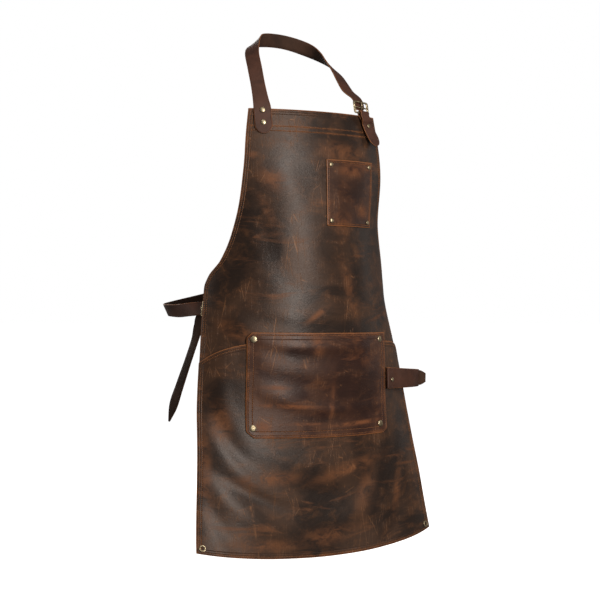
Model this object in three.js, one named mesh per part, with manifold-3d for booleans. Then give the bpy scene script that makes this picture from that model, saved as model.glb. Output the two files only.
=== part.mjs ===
// A leather work apron in its worn form: bib and skirt in one hide, a lap panel over the skirt,
// two patch pockets, a tool loop, a neck strap and a waist belt with brass buckles.
// Millimetres, +Z up, wearer facing -Y, +X to the wearer's left.
// The origin is the middle of the neck strap's inner face, at the back of the neck.
import * as THREE from "three";
import { mergeVertices } from "three/addons/utils/BufferGeometryUtils.js";
import Module from "manifold-3d";

const wasm = await Module();
wasm.setup();

// Driving dimensions: the hide
const APRON_LENGTH = 855; // bib top to the middle of the hem
const BIB_HALF = 146; // half width of the bib at its top edge
const SKIRT_HALF = 248; // half width of the skirt at the belt, along the leather
const BODY_DEPTH = 140; // from the body's axis to the deepest front of the apron
const HIDE = 2; // thickness of the main hide
const HEM_RISE = 23; // the hem's corners are higher than its middle by this
const HEM_TWIST = 17; // and the wearer's left corner by this much more
const FIT = 0.6; // clearance between leathers that lie on each other
const INSIDE_FIT = 0.9; // and where a leather lies on two, or in the hide's hollow side
const PLAY = 0.4; // clearance between metal and what it passes through or rests on

// Driving dimensions: what is laid on the hide
const LAP_HIDE = 2;
const LAP_TOP = 443; // top of the lap panel's arch, below the bib's top
const LAP_ARCH = 43; // the arch falls this far towards the sides
const LAP_SWEEP = { right: 4.5, left: 12 }; // how late it falls, on the wearer's right and left
const LAP_BULGE = 3.2; // how far the hand pockets' mouths stand open
const LAP_MOUTH = { at: 0.84, half: 0.15, deep: 0.16 }; // where they do, in shares across and down
const POCKET_HIDE = 1.8;
const POCKET_BULGE = 2.4; // how far a pocket's mouth stands open
const FRONT_POCKET = { left: -157, top: 426, width: 317, height: 200, cutTop: 10, cutLeft: 15, cutRight: 11 };
const CHEST_POCKET = { left: 3, top: 93, width: 120, height: 127, cutTop: 0, cutLeft: 0, cutRight: 0 };
const FRONT_POCKET_RIVET = 13; // rivets sit this far in from the pocket's edges
const CHEST_POCKET_RIVET = 9.5;

// Driving dimensions: straps and belt
const STRAP = 28; // width of the neck strap
const STRAP_HIDE = 2.4;
const STRAP_END = 34; // width of the strap's flared end
const STRAP_LAP = 48; // length of the flared end on the bib
const STRAP_IN = 26; // the strap's end is this far in from the bib's corner
const NECK_WIDTH = 180; // width of the neck strap's loop
const NECK_BACK = 65; // from the body's axis to the strap at the back of the neck
const NECK_RISE = 160; // the strap's middle is this high over the bib's top
const TAB = 32; // width of the buckle tab
const TAB_IN = 39; // the tab's top is this far in from the bib's corner
const TAB_LAP = 58; // length of the tab on the bib
const TAB_SLANT = 24; // degrees
const TAB_LIFT = 8; // the tab's tip stands off the bib by this
const TAB_NECK = 24; // width of the tab where it folds round the buckle
const TAB_ASIDE = 5.4; // it sits this far towards the buckle's outer end
const BELT = 26; // width of the waist belt
const BELT_DROP = 381; // height of the waist buckle, below the bib's top
const BELT_RISE = 36; // the belt climbs this much round the back
const WAIST_BACK = 178; // from the body's axis to the belt at the back
const WAIST_HALF = 226; // half width of the belt's loop
const BELT_TAIL = 222; // length of the belt's hanging end
const BELT_SLACK = 0.6; // the belt lies this loosely round its buckle's bar
const BELT_TAB = 42; // the buckle's tab is sewn inside the hide as far as this from its heel bar
const BELT_IN = 26; // and the belt's other end as far as this from the left edge

// Driving dimensions: tool loop
const LOOP = 42; // width of the loop's strap at its fold
const LOOP_TIP = 31; // and at its free end
const LOOP_BESIDE = 8; // its fold is this far from the front pocket's left edge
const LOOP_DROP = 518; // its middle, below the bib's top
const LOOP_SAG = 4; // its right end hangs this much lower
const LOOP_REACH = 75; // length of the loop, along the panel
const LOOP_GAP = 24; // room for a tool inside the loop
const LOOP_FOLD = 1.8; // clearance between its two runs, at the fold
const LOOP_RIVET_IN = 11; // its rivet, from the fold

// Driving dimensions: metal
const RIVET_STRAP = 11; // head diameters
const RIVET_POCKET = 13;
const RIVET_CHEST = 9;
const RIVET_SHAFT = 3.2;
const RIVET_DOME = 2.2;
const EYELET = 13;
const EYELET_BORE = 7;
const EYELET_IN = 11; // from the hem and from the side edge
const NECK_FRAME = 43; // length of the neck buckle's bars
const WAIST_FRAME = 34;
const FRAME_ALONG = 26; // from the outer bar to the heel bar, over all
const FRAME_ROD = 3.4;
const PRONG = 3;
const NECK_FRAME_DROP = -15; // the neck buckle's middle is above the bib's top edge
const NECK_FRAME_SHIFT = -2.5; // the strap pulls it this far to the middle
const NECK_FRAME_OFF = 4.4; // and off the bib's plane
const NECK_FRAME_LEAN = 12; // degrees that it leans back
const NECK_FRAME_TURN = 3; // and that it turns in its own plane, its outer end down
const WAIST_FRAME_IN = 6; // the waist buckle's middle is this far inside the side edge

// Half width of the hide, down its length: drop is a share of APRON_LENGTH and
// spread runs from BIB_HALF at 0 to SKIRT_HALF at 1.
const OUTLINE = [
  { drop: 0, spread: 0 },
  { drop: 0.07, spread: 0.1 },
  { drop: 0.14, spread: 0.165 },
  { drop: 0.21, spread: 0.24 },
  { drop: 0.28, spread: 0.4 },
  { drop: 0.34, spread: 0.64 },
  { drop: 0.375, spread: 0.9 },
  { drop: 0.4, spread: 0.99 },
  { drop: 0.43, spread: 1 },
  { drop: 0.7, spread: 1 },
  { drop: 1, spread: 1.14 },
];

// The form over the body: depth is a share of BODY_DEPTH, and bend and curl are the degrees
// that the hide has turned by at SKIRT_HALF, evenly and towards its edges.
const FORM = [
  { drop: 0, depth: 0.81, bend: 41, curl: 15 },
  { drop: 0.12, depth: 0.93, bend: 42, curl: 17 },
  { drop: 0.26, depth: 0.965, bend: 55, curl: 20 },
  { drop: 0.4, depth: 1, bend: 50, curl: 19 },
  { drop: 0.53, depth: 0.993, bend: 38, curl: 16 },
  { drop: 0.7, depth: 0.92, bend: 22, curl: 13 },
  { drop: 1, depth: 0.92, bend: -14, curl: 34 },
];

// The neck strap from the right shoulder round the back of the neck to the left: side, back and
// rise are shares of half of NECK_WIDTH, NECK_BACK and NECK_RISE, and facing and lean turn its outer face.
const NECK_ROUTE = [
  { side: -1.32, back: -1.38, rise: 0.09, facing: -25, lean: 20 },
  { side: -1.3, back: -1.17, rise: 0.26, facing: -28, lean: 28 },
  { side: -1.24, back: -0.77, rise: 0.525, facing: -32, lean: 34 },
  { side: -1.14, back: -0.34, rise: 0.725, facing: -45, lean: 44 },
  { side: -0.97, back: 0.03, rise: 0.84, facing: -72, lean: 48 },
  { side: -0.73, back: 0.43, rise: 0.925, facing: -105, lean: 36 },
  { side: -0.44, back: 0.77, rise: 0.975, facing: -138, lean: 18 },
  { side: -0.11, back: 0.97, rise: 1, facing: -166, lean: 10 },
  { side: 0.24, back: 1.02, rise: 0.995, facing: -184, lean: 7 },
  { side: 0.56, back: 0.93, rise: 0.955, facing: -208, lean: 9 },
  { side: 0.81, back: 0.67, rise: 0.88, facing: -238, lean: 26 },
  { side: 0.925, back: 0.34, rise: 0.79, facing: -272, lean: 38 },
  { side: 0.965, back: -0.05, rise: 0.68, facing: -306, lean: 46 },
  { side: 0.99, back: -0.43, rise: 0.555, facing: -330, lean: 49 },
  { side: 0.98, back: -0.74, rise: 0.44, facing: -343, lean: 49 },
  { side: 0.98, back: -1.05, rise: 0.32, facing: -350, lean: 45 },
];

// The belt from its buckle at the right hip round the back to the left edge: side and back are
// shares of WAIST_HALF and WAIST_BACK, climb is a share of BELT_RISE, facing and lean turn its face.
const BELT_ROUTE = [
  { side: -0.955, back: 0.05, climb: -0.08, facing: -99, lean: -5 },
  { side: -0.985, back: 0.25, climb: -0.16, facing: -99, lean: -15 },
  { side: -1, back: 0.44, climb: -0.16, facing: -104, lean: -25 },
  { side: -0.965, back: 0.62, climb: -0.12, facing: -133, lean: -22 },
  { side: -0.83, back: 0.79, climb: 0, facing: -154, lean: -10 },
  { side: -0.63, back: 0.91, climb: 0.22, facing: -164, lean: 0 },
  { side: -0.4, back: 0.98, climb: 0.5, facing: -172, lean: 0 },
  { side: 0, back: 1, climb: 0.86, facing: -181, lean: 0 },
  { side: 0.43, back: 0.98, climb: 1, facing: -190, lean: 0 },
  { side: 0.81, back: 0.78, climb: 1, facing: -214, lean: 0 },
  { side: 0.99, back: 0.42, climb: 0.95, facing: -256, lean: 0 },
  { side: 0.965, back: 0.08, climb: 0.86, facing: -268, lean: 0 },
];

// The belt's hanging end, from its tip up: fall, side and back are shares of BELT_TAIL from the
// waist buckle's middle.
const TAIL_ROUTE = [
  { side: -0.147, back: 0.43, fall: 1, facing: 102 },
  { side: -0.13, back: 0.39, fall: 0.87, facing: 99 },
  { side: -0.103, back: 0.32, fall: 0.69, facing: 94 },
  { side: -0.069, back: 0.23, fall: 0.47, facing: 88 },
  { side: -0.04, back: 0.15, fall: 0.27, facing: 90 },
  { side: -0.027, back: 0.11, fall: 0.15, facing: 102 },
];

// The tool loop's strap: along is a share of LOOP_REACH from the fold, off is a share of LOOP_GAP
// out of the folded end, turn is the degrees that its face turns from the form's, and wide runs
// from LOOP_TIP at 0 to LOOP at 1. The front run ends free, and the back run lies on the lap
// panel, meets the front run's end and stands out past it.
const LOOP_FRONT = [
  { along: 1.05, off: 1.2, turn: -22, wide: 0 },
  { along: 0.88, off: 1.08, turn: -22, wide: 0.1 },
  { along: 0.68, off: 0.78, turn: -22, wide: 0.35 },
  { along: 0.47, off: 0.4, turn: -18, wide: 0.6 },
  { along: 0.29, off: 0.09, turn: -8, wide: 0.85 },
  { along: 0.2, off: 0, turn: 0, wide: 0.95 },
  { along: 0.08, off: 0, turn: 0, wide: 1 },
];
const LOOP_BACK = [
  { along: 0.14, off: 0, turn: 0, wide: 1 },
  { along: 0.43, off: 0, turn: 0, wide: 0.8 },
  { along: 0.72, off: 0.01, turn: 0, wide: 0.6 },
  { along: 0.95, off: 0.04, turn: -6, wide: 0.4 },
  { along: 1.1, off: 0.2, turn: -40, wide: 0.25 },
  { along: 1.17, off: 0.5, turn: -80, wide: 0.15 },
  { along: 1.16, off: 0.85, turn: -98, wide: 0.05 },
  { along: 1.11, off: 1.22, turn: -95, wide: 0 },
  { along: 1.12, off: 1.55, turn: -72, wide: -0.2 },
  { along: 1.18, off: 1.9, turn: -60, wide: -1.2 },
];

// Facets of the round metal pieces and of their holes, and the least step along a strap.
const RIVET_SIDES = 12;
const BORE_SIDES = 8;
const RING_GAP = 1.6;

const radians = (degrees) => (degrees * Math.PI) / 180;
const lerp = (a, b, t) => a + (b - a) * t;
const clamp = (x, low, high) => Math.min(Math.max(x, low), high);

// A smooth, never overshooting value of one column of a table, at a share down the apron.
function alongTable(table, column, drop) {
  const last = table.length - 2;
  const i = clamp(table.findIndex((row) => row.drop > drop) - 1, 0, last);
  const k = drop >= table[table.length - 1].drop ? last : i;
  const rise = (n) => (table[n + 1][column] - table[n][column]) / (table[n + 1].drop - table[n].drop);
  const slope = (n) => {
    if (n <= 0) return rise(0);
    if (n > last) return rise(last);
    const [a, b] = [rise(n - 1), rise(n)];
    return a * b <= 0 ? 0 : (2 * a * b) / (a + b);
  };
  const gap = table[k + 1].drop - table[k].drop;
  const t = clamp((drop - table[k].drop) / gap, 0, 1);
  const ease = t * t * (3 - 2 * t);
  const bulge = t * (1 - t) * gap * (slope(k) * (1 - t) - slope(k + 1) * t);
  return lerp(table[k][column], table[k + 1][column], ease) + bulge;
}

// Half width of the hide at a drop below the bib's top.
const halfWidth = (v) => lerp(BIB_HALF, SKIRT_HALF, alongTable(OUTLINE, "spread", v / APRON_LENGTH));

// The angle that the hide has turned by at u across and v down, in radians.
function wrapAngle(u, v) {
  const drop = clamp(v / APRON_LENGTH, 0, 1);
  const t = u / SKIRT_HALF;
  return radians(alongTable(FORM, "bend", drop) * t + alongTable(FORM, "curl", drop) * t ** 3);
}

// How far the hem lifts at its corners.
function hemLift(u, v) {
  const low = clamp((v / APRON_LENGTH - 0.4) / 0.6, 0, 1.1) ** 2;
  const t = u / halfWidth(APRON_LENGTH);
  return low * (HEM_RISE * t * t + HEM_TWIST * Math.max(t, 0) ** 2);
}

// The outward normal of the form at u, v.
const outward = (u, v) => new THREE.Vector3(Math.sin(wrapAngle(u, v)), -Math.cos(wrapAngle(u, v)), 0);

// A place on the form: u along the leather from the centre line, v down from the bib's top edge,
// out of the hide's outer face.
function place(u, v, out = 0) {
  const steps = 24;
  const drop = clamp(v / APRON_LENGTH, 0, 1);
  let x = 0;
  let y = -BODY_DEPTH * alongTable(FORM, "depth", drop);
  for (let i = 0; i < steps; i++) {
    const angle = wrapAngle(((i + 0.5) / steps) * u, v);
    x += (Math.cos(angle) * u) / steps;
    y += (Math.sin(angle) * u) / steps;
  }
  return new THREE.Vector3(x, y, hemLift(u, v) - v).addScaledVector(outward(u, v), out);
}

// A closed sheet over a grid: at(across share, down share, true on the outer face) is a point.
function sheetGeometry(columns, rows, at) {
  const points = [];
  for (const outer of [true, false])
    for (const b of rows) for (const a of columns) points.push(at(a, b, outer));
  const wide = columns.length;
  const layer = wide * rows.length;
  const index = [];
  const quad = (a, b, c, d) => index.push(a, b, c, a, c, d);
  for (let r = 0; r < rows.length - 1; r++)
    for (let c = 0; c < wide - 1; c++) {
      const k = r * wide + c;
      quad(k, k + wide, k + wide + 1, k + 1);
      quad(layer + k, layer + k + 1, layer + k + wide + 1, layer + k + wide);
    }
  for (let c = 0; c < wide - 1; c++) {
    const low = (rows.length - 1) * wide + c;
    quad(c, c + 1, layer + c + 1, layer + c);
    quad(low + 1, low, layer + low, layer + low + 1);
  }
  for (let r = 0; r < rows.length - 1; r++) {
    const left = r * wide;
    const right = left + wide - 1;
    quad(left + wide, left, layer + left, layer + left + wide);
    quad(right, right + wide, layer + right + wide, layer + right);
  }
  const geometry = new THREE.BufferGeometry().setFromPoints(points);
  geometry.setIndex(index);
  return geometry;
}

const even = (count) => Array.from({ length: count + 1 }, (_, i) => i / count);

// Shares that lie closer together towards both ends, where the hide curls.
const closing = (count) => even(count).map((t) => 0.5 + 0.5 * Math.sign(t - 0.5) * Math.abs(2 * t - 1) ** 0.85);

// A smooth route through rows of numbers that start with x, y, z, with up to so many steps between
// each two rows, and fewer where they would lie closer than RING_GAP.
function smoothRoute(rows, steps) {
  const apart = (a, b) => Math.hypot(a[0] - b[0], a[1] - b[1], a[2] - b[2]);
  const gaps = rows.slice(1).map((row, i) => apart(row, rows[i]));
  const rate = (i, c) => (rows[i + 1][c] - rows[i][c]) / gaps[i];
  const slope = (i, c) => {
    if (i === 0) return rate(0, c);
    if (i === gaps.length) return rate(i - 1, c);
    return (gaps[i] * rate(i - 1, c) + gaps[i - 1] * rate(i, c)) / (gaps[i - 1] + gaps[i]);
  };
  const made = [];
  gaps.forEach((gap, i) => {
    const count = clamp(Math.floor(gap / RING_GAP), 1, steps);
    for (let k = 0; k < count; k++) {
      const f = k / count;
      const ease = f * f * (3 - 2 * f);
      const [leave, arrive] = [f * (1 - f) ** 2 * gap, f * f * (f - 1) * gap];
      made.push(
        rows[i].map((value, c) => lerp(value, rows[i + 1][c], ease) + leave * slope(i, c) + arrive * slope(i + 1, c)),
      );
    }
  });
  return [...made, rows[rows.length - 1]];
}

// The way that a strap's outer face looks, by its facing and lean in degrees.
function lookAt(facing, lean = 0) {
  const [turn, tilt] = [radians(facing), radians(lean)];
  return new THREE.Vector3(Math.cos(tilt) * Math.sin(turn), -Math.cos(tilt) * Math.cos(turn), Math.sin(tilt));
}

const noSide = new THREE.Vector3();

// One station of a strap: its middle, the way its outer face looks, its width, and in a fold the
// way that its width runs.
const station = (point, look, width, side = noSide) => [
  ...point.toArray(),
  ...look.toArray(),
  width,
  ...side.toArray(),
];

// A flat strap along its stations. It keeps square to its own run, except in a fold.
function strapGeometry(stations, thick) {
  const middles = stations.map(([x, y, z]) => new THREE.Vector3(x, y, z));
  const rings = middles.map((middle, i) => {
    const run = middles[Math.min(i + 1, middles.length - 1)].clone().sub(middles[Math.max(i - 1, 0)]).normalize();
    const look = new THREE.Vector3(...stations[i].slice(3, 6));
    const square = look.cross(run).normalize();
    const side = new THREE.Vector3(...stations[i].slice(7, 10));
    const folded = Math.min(side.length(), 1);
    if (side.dot(square) < 0) side.negate();
    const wide = square.multiplyScalar(1 - folded).add(side).normalize();
    const out = run.clone().cross(wide).normalize();
    const half = stations[i][6] / 2;
    return [
      [1, 1],
      [-1, 1],
      [-1, -1],
      [1, -1],
    ].map(([side, face]) =>
      middle
        .clone()
        .addScaledVector(wide, side * half)
        .addScaledVector(out, (face * thick) / 2),
    );
  });
  const points = rings.flat();
  const index = [];
  const last = (rings.length - 1) * 4;
  for (let r = 0; r < rings.length - 1; r++)
    for (let c = 0; c < 4; c++) {
      const a = r * 4 + c;
      const b = r * 4 + ((c + 1) % 4);
      index.push(a, b + 4, a + 4, a, b, b + 4);
    }
  index.push(0, 2, 1, 0, 3, 2, last, last + 1, last + 2, last, last + 2, last + 3);
  const geometry = new THREE.BufferGeometry().setFromPoints(points);
  geometry.setIndex(index);
  return geometry;
}

// Geometry to solid and back, for cuts and joins.
function solid(geometry) {
  const bare = new THREE.BufferGeometry().setAttribute("position", geometry.getAttribute("position"));
  if (geometry.index) bare.setIndex(geometry.index);
  const merged = mergeVertices(bare, 1e-4);
  const made = new wasm.Manifold(
    new wasm.Mesh({
      numProp: 3,
      vertProperties: merged.attributes.position.array,
      triVerts: new Uint32Array(merged.index.array),
    }),
  );
  if (made.volume() >= 0) return made;
  const turned = new Uint32Array(merged.index.array);
  for (let i = 0; i < turned.length; i += 3) [turned[i + 1], turned[i + 2]] = [turned[i + 2], turned[i + 1]];
  return new wasm.Manifold(
    new wasm.Mesh({ numProp: 3, vertProperties: merged.attributes.position.array, triVerts: turned }),
  );
}

function geometryOf(made) {
  const mesh = made.getMesh();
  const geometry = new THREE.BufferGeometry();
  geometry.setAttribute("position", new THREE.BufferAttribute(mesh.vertProperties, 3));
  geometry.setIndex(new THREE.BufferAttribute(mesh.triVerts, 1));
  return geometry;
}

// A piece with its holes, without the chips that a cut leaves.
function cut(geometry, cutters) {
  const left = cutters.reduce((rest, cutter) => rest.subtract(solid(cutter)), solid(geometry));
  const bodies = left.decompose().sort((a, b) => b.volume() - a.volume());
  return geometryOf(bodies[0]);
}

// The matrix that puts a fitting at a point, its axis out of the leather and its x across it.
function seat(point, out, sideways) {
  const x = sideways.clone().addScaledVector(out, -sideways.dot(out)).normalize();
  const y = out.clone().cross(x);
  return new THREE.Matrix4().makeBasis(x, y, out).setPosition(point);
}

const material = (color, roughness, metalness) => new THREE.MeshStandardMaterial({ color, roughness, metalness });
const hideLeather = material(0x4a362c, 0.6, 0);
const strapLeather = material(0x45281f, 0.55, 0);
const oldBrass = material(0x9c8c66, 0.38, 1);

const apron = new THREE.Group();

function add(name, geometry, finish) {
  const mesh = new THREE.Mesh(geometry, finish);
  mesh.name = name;
  apron.add(mesh);
}

// The frame of a spot on the form: its point, its true outward normal and the way across.
function spot(u, v, out = 0) {
  const step = 0.5;
  const wide = place(u + step, v).sub(place(u - step, v)).normalize();
  const down = place(u, v + step).sub(place(u, v - step));
  const normal = down.cross(wide).normalize();
  return { point: place(u, v, out), normal, wide };
}

// A strap station on the form, its outer face looking out.
function onForm(u, v, out, width) {
  const { point, normal } = spot(u, v, out);
  return station(point, normal, width);
}

// A pin's clearance hole through all leathers at a spot.
function boreAt(u, v, radius) {
  const { point, normal, wide } = spot(u, v);
  const through = 10 * (HIDE + STRAP_HIDE + LAP_HIDE);
  const bore = new THREE.CylinderGeometry(radius, radius, through, BORE_SIDES).rotateX(Math.PI / 2);
  return bore.applyMatrix4(seat(point, normal, wide));
}

// Every rivet: name, place, head and how far the leathers stand out of the hide under the head.
const lapOut = FIT + LAP_HIDE;
const pocketOut = (pocket) => (pocket === FRONT_POCKET ? lapOut + INSIDE_FIT : FIT);
const strapU = STRAP_IN - BIB_HALF;
const tabU = (v) => BIB_HALF - TAB_IN + v * Math.tan(radians(TAB_SLANT));
const tabRivetDrop = TAB_LAP * 0.36;
const loopAt = FRONT_POCKET.left + FRONT_POCKET.width + LOOP_BESIDE;

function pocketRivets(name, pocket, inset, head) {
  const rows = [];
  for (const [down, v] of [
    ["upper", pocket.top + inset],
    ["lower", pocket.top + pocket.height - inset - pocket.cutLeft / 3],
  ])
    for (const [side, u] of [
      ["right", pocket.left + inset],
      ["left", pocket.left + pocket.width - inset - pocket.cutRight / 2],
    ])
      rows.push({ name: `${name}_rivet_${down}_${side}`, u, v, head, under: pocketOut(pocket) + POCKET_HIDE });
  return rows;
}

const rivets = [
  { name: "strap_rivet_upper", u: strapU, v: 0.05 * STRAP_LAP + 1, head: RIVET_STRAP, under: FIT + STRAP_HIDE },
  { name: "strap_rivet_lower", u: strapU, v: 0.57 * STRAP_LAP, head: RIVET_STRAP, under: FIT + STRAP_HIDE },
  {
    name: "tab_rivet",
    u: tabU(tabRivetDrop),
    v: tabRivetDrop,
    head: RIVET_CHEST,
    under: 2 * (FIT + STRAP_HIDE) + PLAY,
  },
  ...pocketRivets("front_pocket", FRONT_POCKET, FRONT_POCKET_RIVET, RIVET_POCKET),
  ...pocketRivets("chest_pocket", CHEST_POCKET, CHEST_POCKET_RIVET, RIVET_CHEST),
  {
    name: "loop_rivet",
    u: loopAt + LOOP_RIVET_IN,
    v: LOOP_DROP + LOOP_SAG,
    head: RIVET_CHEST,
    under: lapOut + INSIDE_FIT + LOOP_FOLD + 2 * STRAP_HIDE,
  },
];
const rivetBores = rivets.map(({ u, v }) => boreAt(u, v, RIVET_SHAFT / 2 + PLAY));
const boresNear = (names) =>
  rivetBores.filter((bore, i) => names.some((start) => rivets[i].name.startsWith(start)));

function rivetGeometry({ u, v, head, under }) {
  const top = under + PLAY;
  const inner = -HIDE - INSIDE_FIT;
  const profile = [
    [0, top + RIVET_DOME],
    [head * 0.28, top + RIVET_DOME * 0.82],
    [head * 0.44, top + RIVET_DOME * 0.42],
    [head / 2, top],
    [RIVET_SHAFT / 2, top],
    [RIVET_SHAFT / 2, inner],
    [head * 0.38, inner],
    [head * 0.38, inner - 1],
    [0, inner - 1],
  ].map(([r, h]) => new THREE.Vector2(r, h));
  const { point, normal, wide } = spot(u, v);
  const turnedUp = new THREE.LatheGeometry(profile.reverse(), RIVET_SIDES).rotateX(Math.PI / 2);
  return turnedUp.applyMatrix4(seat(point, normal, wide));
}

// The two eyelets at the hem's corners.
const eyeletSpots = [-1, 1].map((side) => {
  const v = APRON_LENGTH - EYELET_IN;
  return { name: side < 0 ? "eyelet_right" : "eyelet_left", u: side * (halfWidth(v) - EYELET_IN), v };
});
const eyeletBores = eyeletSpots.map(({ u, v }) => boreAt(u, v, EYELET / 2 - 1.2 + PLAY));

function eyeletGeometry({ u, v }) {
  const [top, bottom] = [lapOut + PLAY, -HIDE - INSIDE_FIT];
  const [outer, barrel, bore] = [EYELET / 2, EYELET / 2 - 1.2, EYELET_BORE / 2];
  const profile = [
    [bore, bottom - 0.8],
    [outer, bottom - 0.8],
    [outer, bottom],
    [barrel, bottom],
    [barrel, top],
    [outer, top],
    [outer - 0.6, top + 1],
    [bore, top + 1],
    [bore, bottom - 0.8],
  ].map(([r, h]) => new THREE.Vector2(r, h));
  const { point, normal, wide } = spot(u, v);
  const turnedUp = new THREE.LatheGeometry(profile, RIVET_SIDES).rotateX(Math.PI / 2);
  return turnedUp.applyMatrix4(seat(point, normal, wide));
}

// The hide: bib and skirt in one.
function apronBody() {
  const hide = sheetGeometry(closing(22), even(24), (a, b, outer) => {
    const v = b * APRON_LENGTH;
    return place((2 * a - 1) * halfWidth(v), v, outer ? 0 : -HIDE);
  });
  return cut(hide, [...rivetBores, ...eyeletBores]);
}

// The second leather over the skirt, open along its arched top as two hand pockets.
function lapPanel() {
  const panel = sheetGeometry(closing(22), [0, 0.08, 0.16, ...even(9).slice(2)], (a, b, outer) => {
    const side = 2 * a - 1;
    const top = LAP_TOP + LAP_ARCH * Math.abs(side) ** (side < 0 ? LAP_SWEEP.right : LAP_SWEEP.left);
    const v = lerp(top, APRON_LENGTH, b);
    const open = Math.max(1 - b / LAP_MOUTH.deep, 0) ** 2;
    const across = Math.max(1 - ((Math.abs(side) - LAP_MOUTH.at) / LAP_MOUTH.half) ** 2, 0);
    return place(side * halfWidth(v), v, (outer ? lapOut : FIT) + LAP_BULGE * open * across);
  });
  return cut(panel, [...boresNear(["front_pocket_rivet_lower", "loop"]), ...eyeletBores]);
}

// A patch pocket with cut corners, its mouth standing open in the middle.
function pocketGeometry(pocket, columns, down) {
  const { left, top, width, height, cutTop, cutLeft, cutRight } = pocket;
  const base = pocketOut(pocket);
  const rows = even(down);
  if (cutLeft > 0) rows.splice(1, 0, cutTop / height);
  if (cutLeft > 0) rows.splice(rows.length - 1, 0, 1 - (0.8 * cutLeft) / height);
  return sheetGeometry(even(columns), rows, (a, b, outer) => {
    const fromTop = b * height;
    const fromHem = (1 - b) * height;
    const inLeft = Math.max(cutTop - fromTop, cutLeft - fromHem / 0.8, 0);
    const inRight = Math.max(cutRight - fromHem / 0.8, 0);
    const u = lerp(left + inLeft, left + width - inRight, a);
    const open = POCKET_BULGE * (1 - b) ** 2 * (4 * a * (1 - a)) ** 1.5;
    return place(u, top + fromTop, base + open + (outer ? POCKET_HIDE : 0));
  });
}

// Width of a strap with a round end, at a distance from that end.
const roundEnd = (width, distance) => {
  const share = clamp(distance / (width / 2), 0, 1);
  return width * Math.sqrt(Math.max(1 - (1 - share) ** 2, 0.03));
};

// The neck buckle's pose: x along its bars, y up along the strap, z out.
function neckBuckle() {
  const v = NECK_FRAME_DROP;
  const { point, wide } = spot(tabU(v) + NECK_FRAME_SHIFT, v, NECK_FRAME_OFF);
  const level = new THREE.Vector3(wide.x, wide.y, 0).normalize();
  const z = new THREE.Vector3(level.y, -level.x, 0).applyAxisAngle(level, radians(-NECK_FRAME_LEAN));
  const x = level.clone().applyAxisAngle(z, radians(-NECK_FRAME_TURN));
  return { point, x, y: z.clone().cross(x), z };
}

const waistU = WAIST_FRAME_IN - SKIRT_HALF;
const wrapOff = FRAME_ROD * 0.71 + PLAY / 2 + STRAP_HIDE / 2; // a strap's middle, round a rod

// The waist buckle's pose: x along its upright bars, y back along the belt, z out.
function waistBuckle() {
  const { point, normal, wide } = spot(waistU, BELT_DROP, -HIDE - INSIDE_FIT - STRAP_HIDE / 2 - wrapOff);
  return { point, x: normal.clone().cross(wide), y: wide.negate(), z: normal };
}

const inPose = (pose, x, y, z) =>
  pose.point.clone().addScaledVector(pose.x, x).addScaledVector(pose.y, y).addScaledVector(pose.z, z);
const poseMatrix = ({ point, x, y, z }) => new THREE.Matrix4().makeBasis(x, y, z).setPosition(point);

const barOff = FRAME_ROD / 2 + PLAY + STRAP_HIDE / 2; // a strap's middle, past the bar that it bears on
const barAt = (FRAME_ALONG - FRAME_ROD) / 2; // outer and heel bars, from the frame's middle
const CENTRE_BAR = 2.6;
const ringIn = Math.hypot(CENTRE_BAR, FRAME_ROD) / 2 + PLAY * 0.6;
const ringOut = ringIn + 1.4;

// A buckle frame with a centre bar.
function frameGeometry(length) {
  const [w, h, r] = [length / 2, FRAME_ALONG / 2, 2.5];
  const shape = new THREE.Shape();
  shape.moveTo(-w + r, -h).lineTo(w - r, -h).quadraticCurveTo(w, -h, w, -h + r);
  shape.lineTo(w, h - r).quadraticCurveTo(w, h, w - r, h);
  shape.lineTo(-w + r, h).quadraticCurveTo(-w, h, -w, h - r);
  shape.lineTo(-w, -h + r).quadraticCurveTo(-w, -h, -w + r, -h);
  for (const side of [-1, 1]) {
    const [near, far] = [side * CENTRE_BAR * 0.5, side * (h - FRAME_ROD)];
    const opening = new THREE.Path();
    opening.moveTo(-w + FRAME_ROD, near).lineTo(w - FRAME_ROD, near).lineTo(w - FRAME_ROD, far);
    opening.lineTo(-w + FRAME_ROD, far).closePath();
    shape.holes.push(opening);
  }
  const options = { depth: FRAME_ROD, bevelEnabled: false, curveSegments: 3 };
  return new THREE.ExtrudeGeometry(shape, options).translate(0, 0, -FRAME_ROD / 2);
}

// A prong: a ring round the centre bar and a tongue that rests on the outer bar.
function prongGeometry() {
  const ring = new THREE.Shape().absarc(0, 0, ringOut, 0, 2 * Math.PI);
  ring.holes.push(new THREE.Path().absarc(0, 0, ringIn, 0, 2 * Math.PI));
  const rest = FRAME_ROD / 2 + PLAY;
  const tip = barAt + FRAME_ROD / 2;
  const tongue = new THREE.Shape([
    new THREE.Vector2(0.4, ringIn + 0.3),
    new THREE.Vector2(barAt - FRAME_ROD, rest),
    new THREE.Vector2(tip + 1, rest),
    new THREE.Vector2(tip + 1.3, rest + 1.1),
    new THREE.Vector2(barAt, rest + 1.9),
    new THREE.Vector2(1.2, ringOut + 0.4),
    new THREE.Vector2(0, ringOut - 0.3),
  ]);
  const made = [ring, tongue].map((shape) =>
    solid(new THREE.ExtrudeGeometry(shape, { depth: PRONG, bevelEnabled: false, curveSegments: 7 })),
  );
  const sideways = new THREE.Matrix4().makeBasis(
    new THREE.Vector3(0, 1, 0),
    new THREE.Vector3(0, 0, 1),
    new THREE.Vector3(1, 0, 0),
  );
  return geometryOf(made[0].add(made[1])).translate(0, 0, -PRONG / 2).applyMatrix4(sideways);
}

// The slot that a prong's ring passes through, between two places along the strap.
const slotGeometry = (from, to) =>
  new THREE.BoxGeometry(PRONG + 2 * PLAY, to - from, 4 * barOff).translate(0, (from + to) / 2, 0);

const neckPose = neckBuckle();
const waistPose = waistBuckle();

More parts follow.
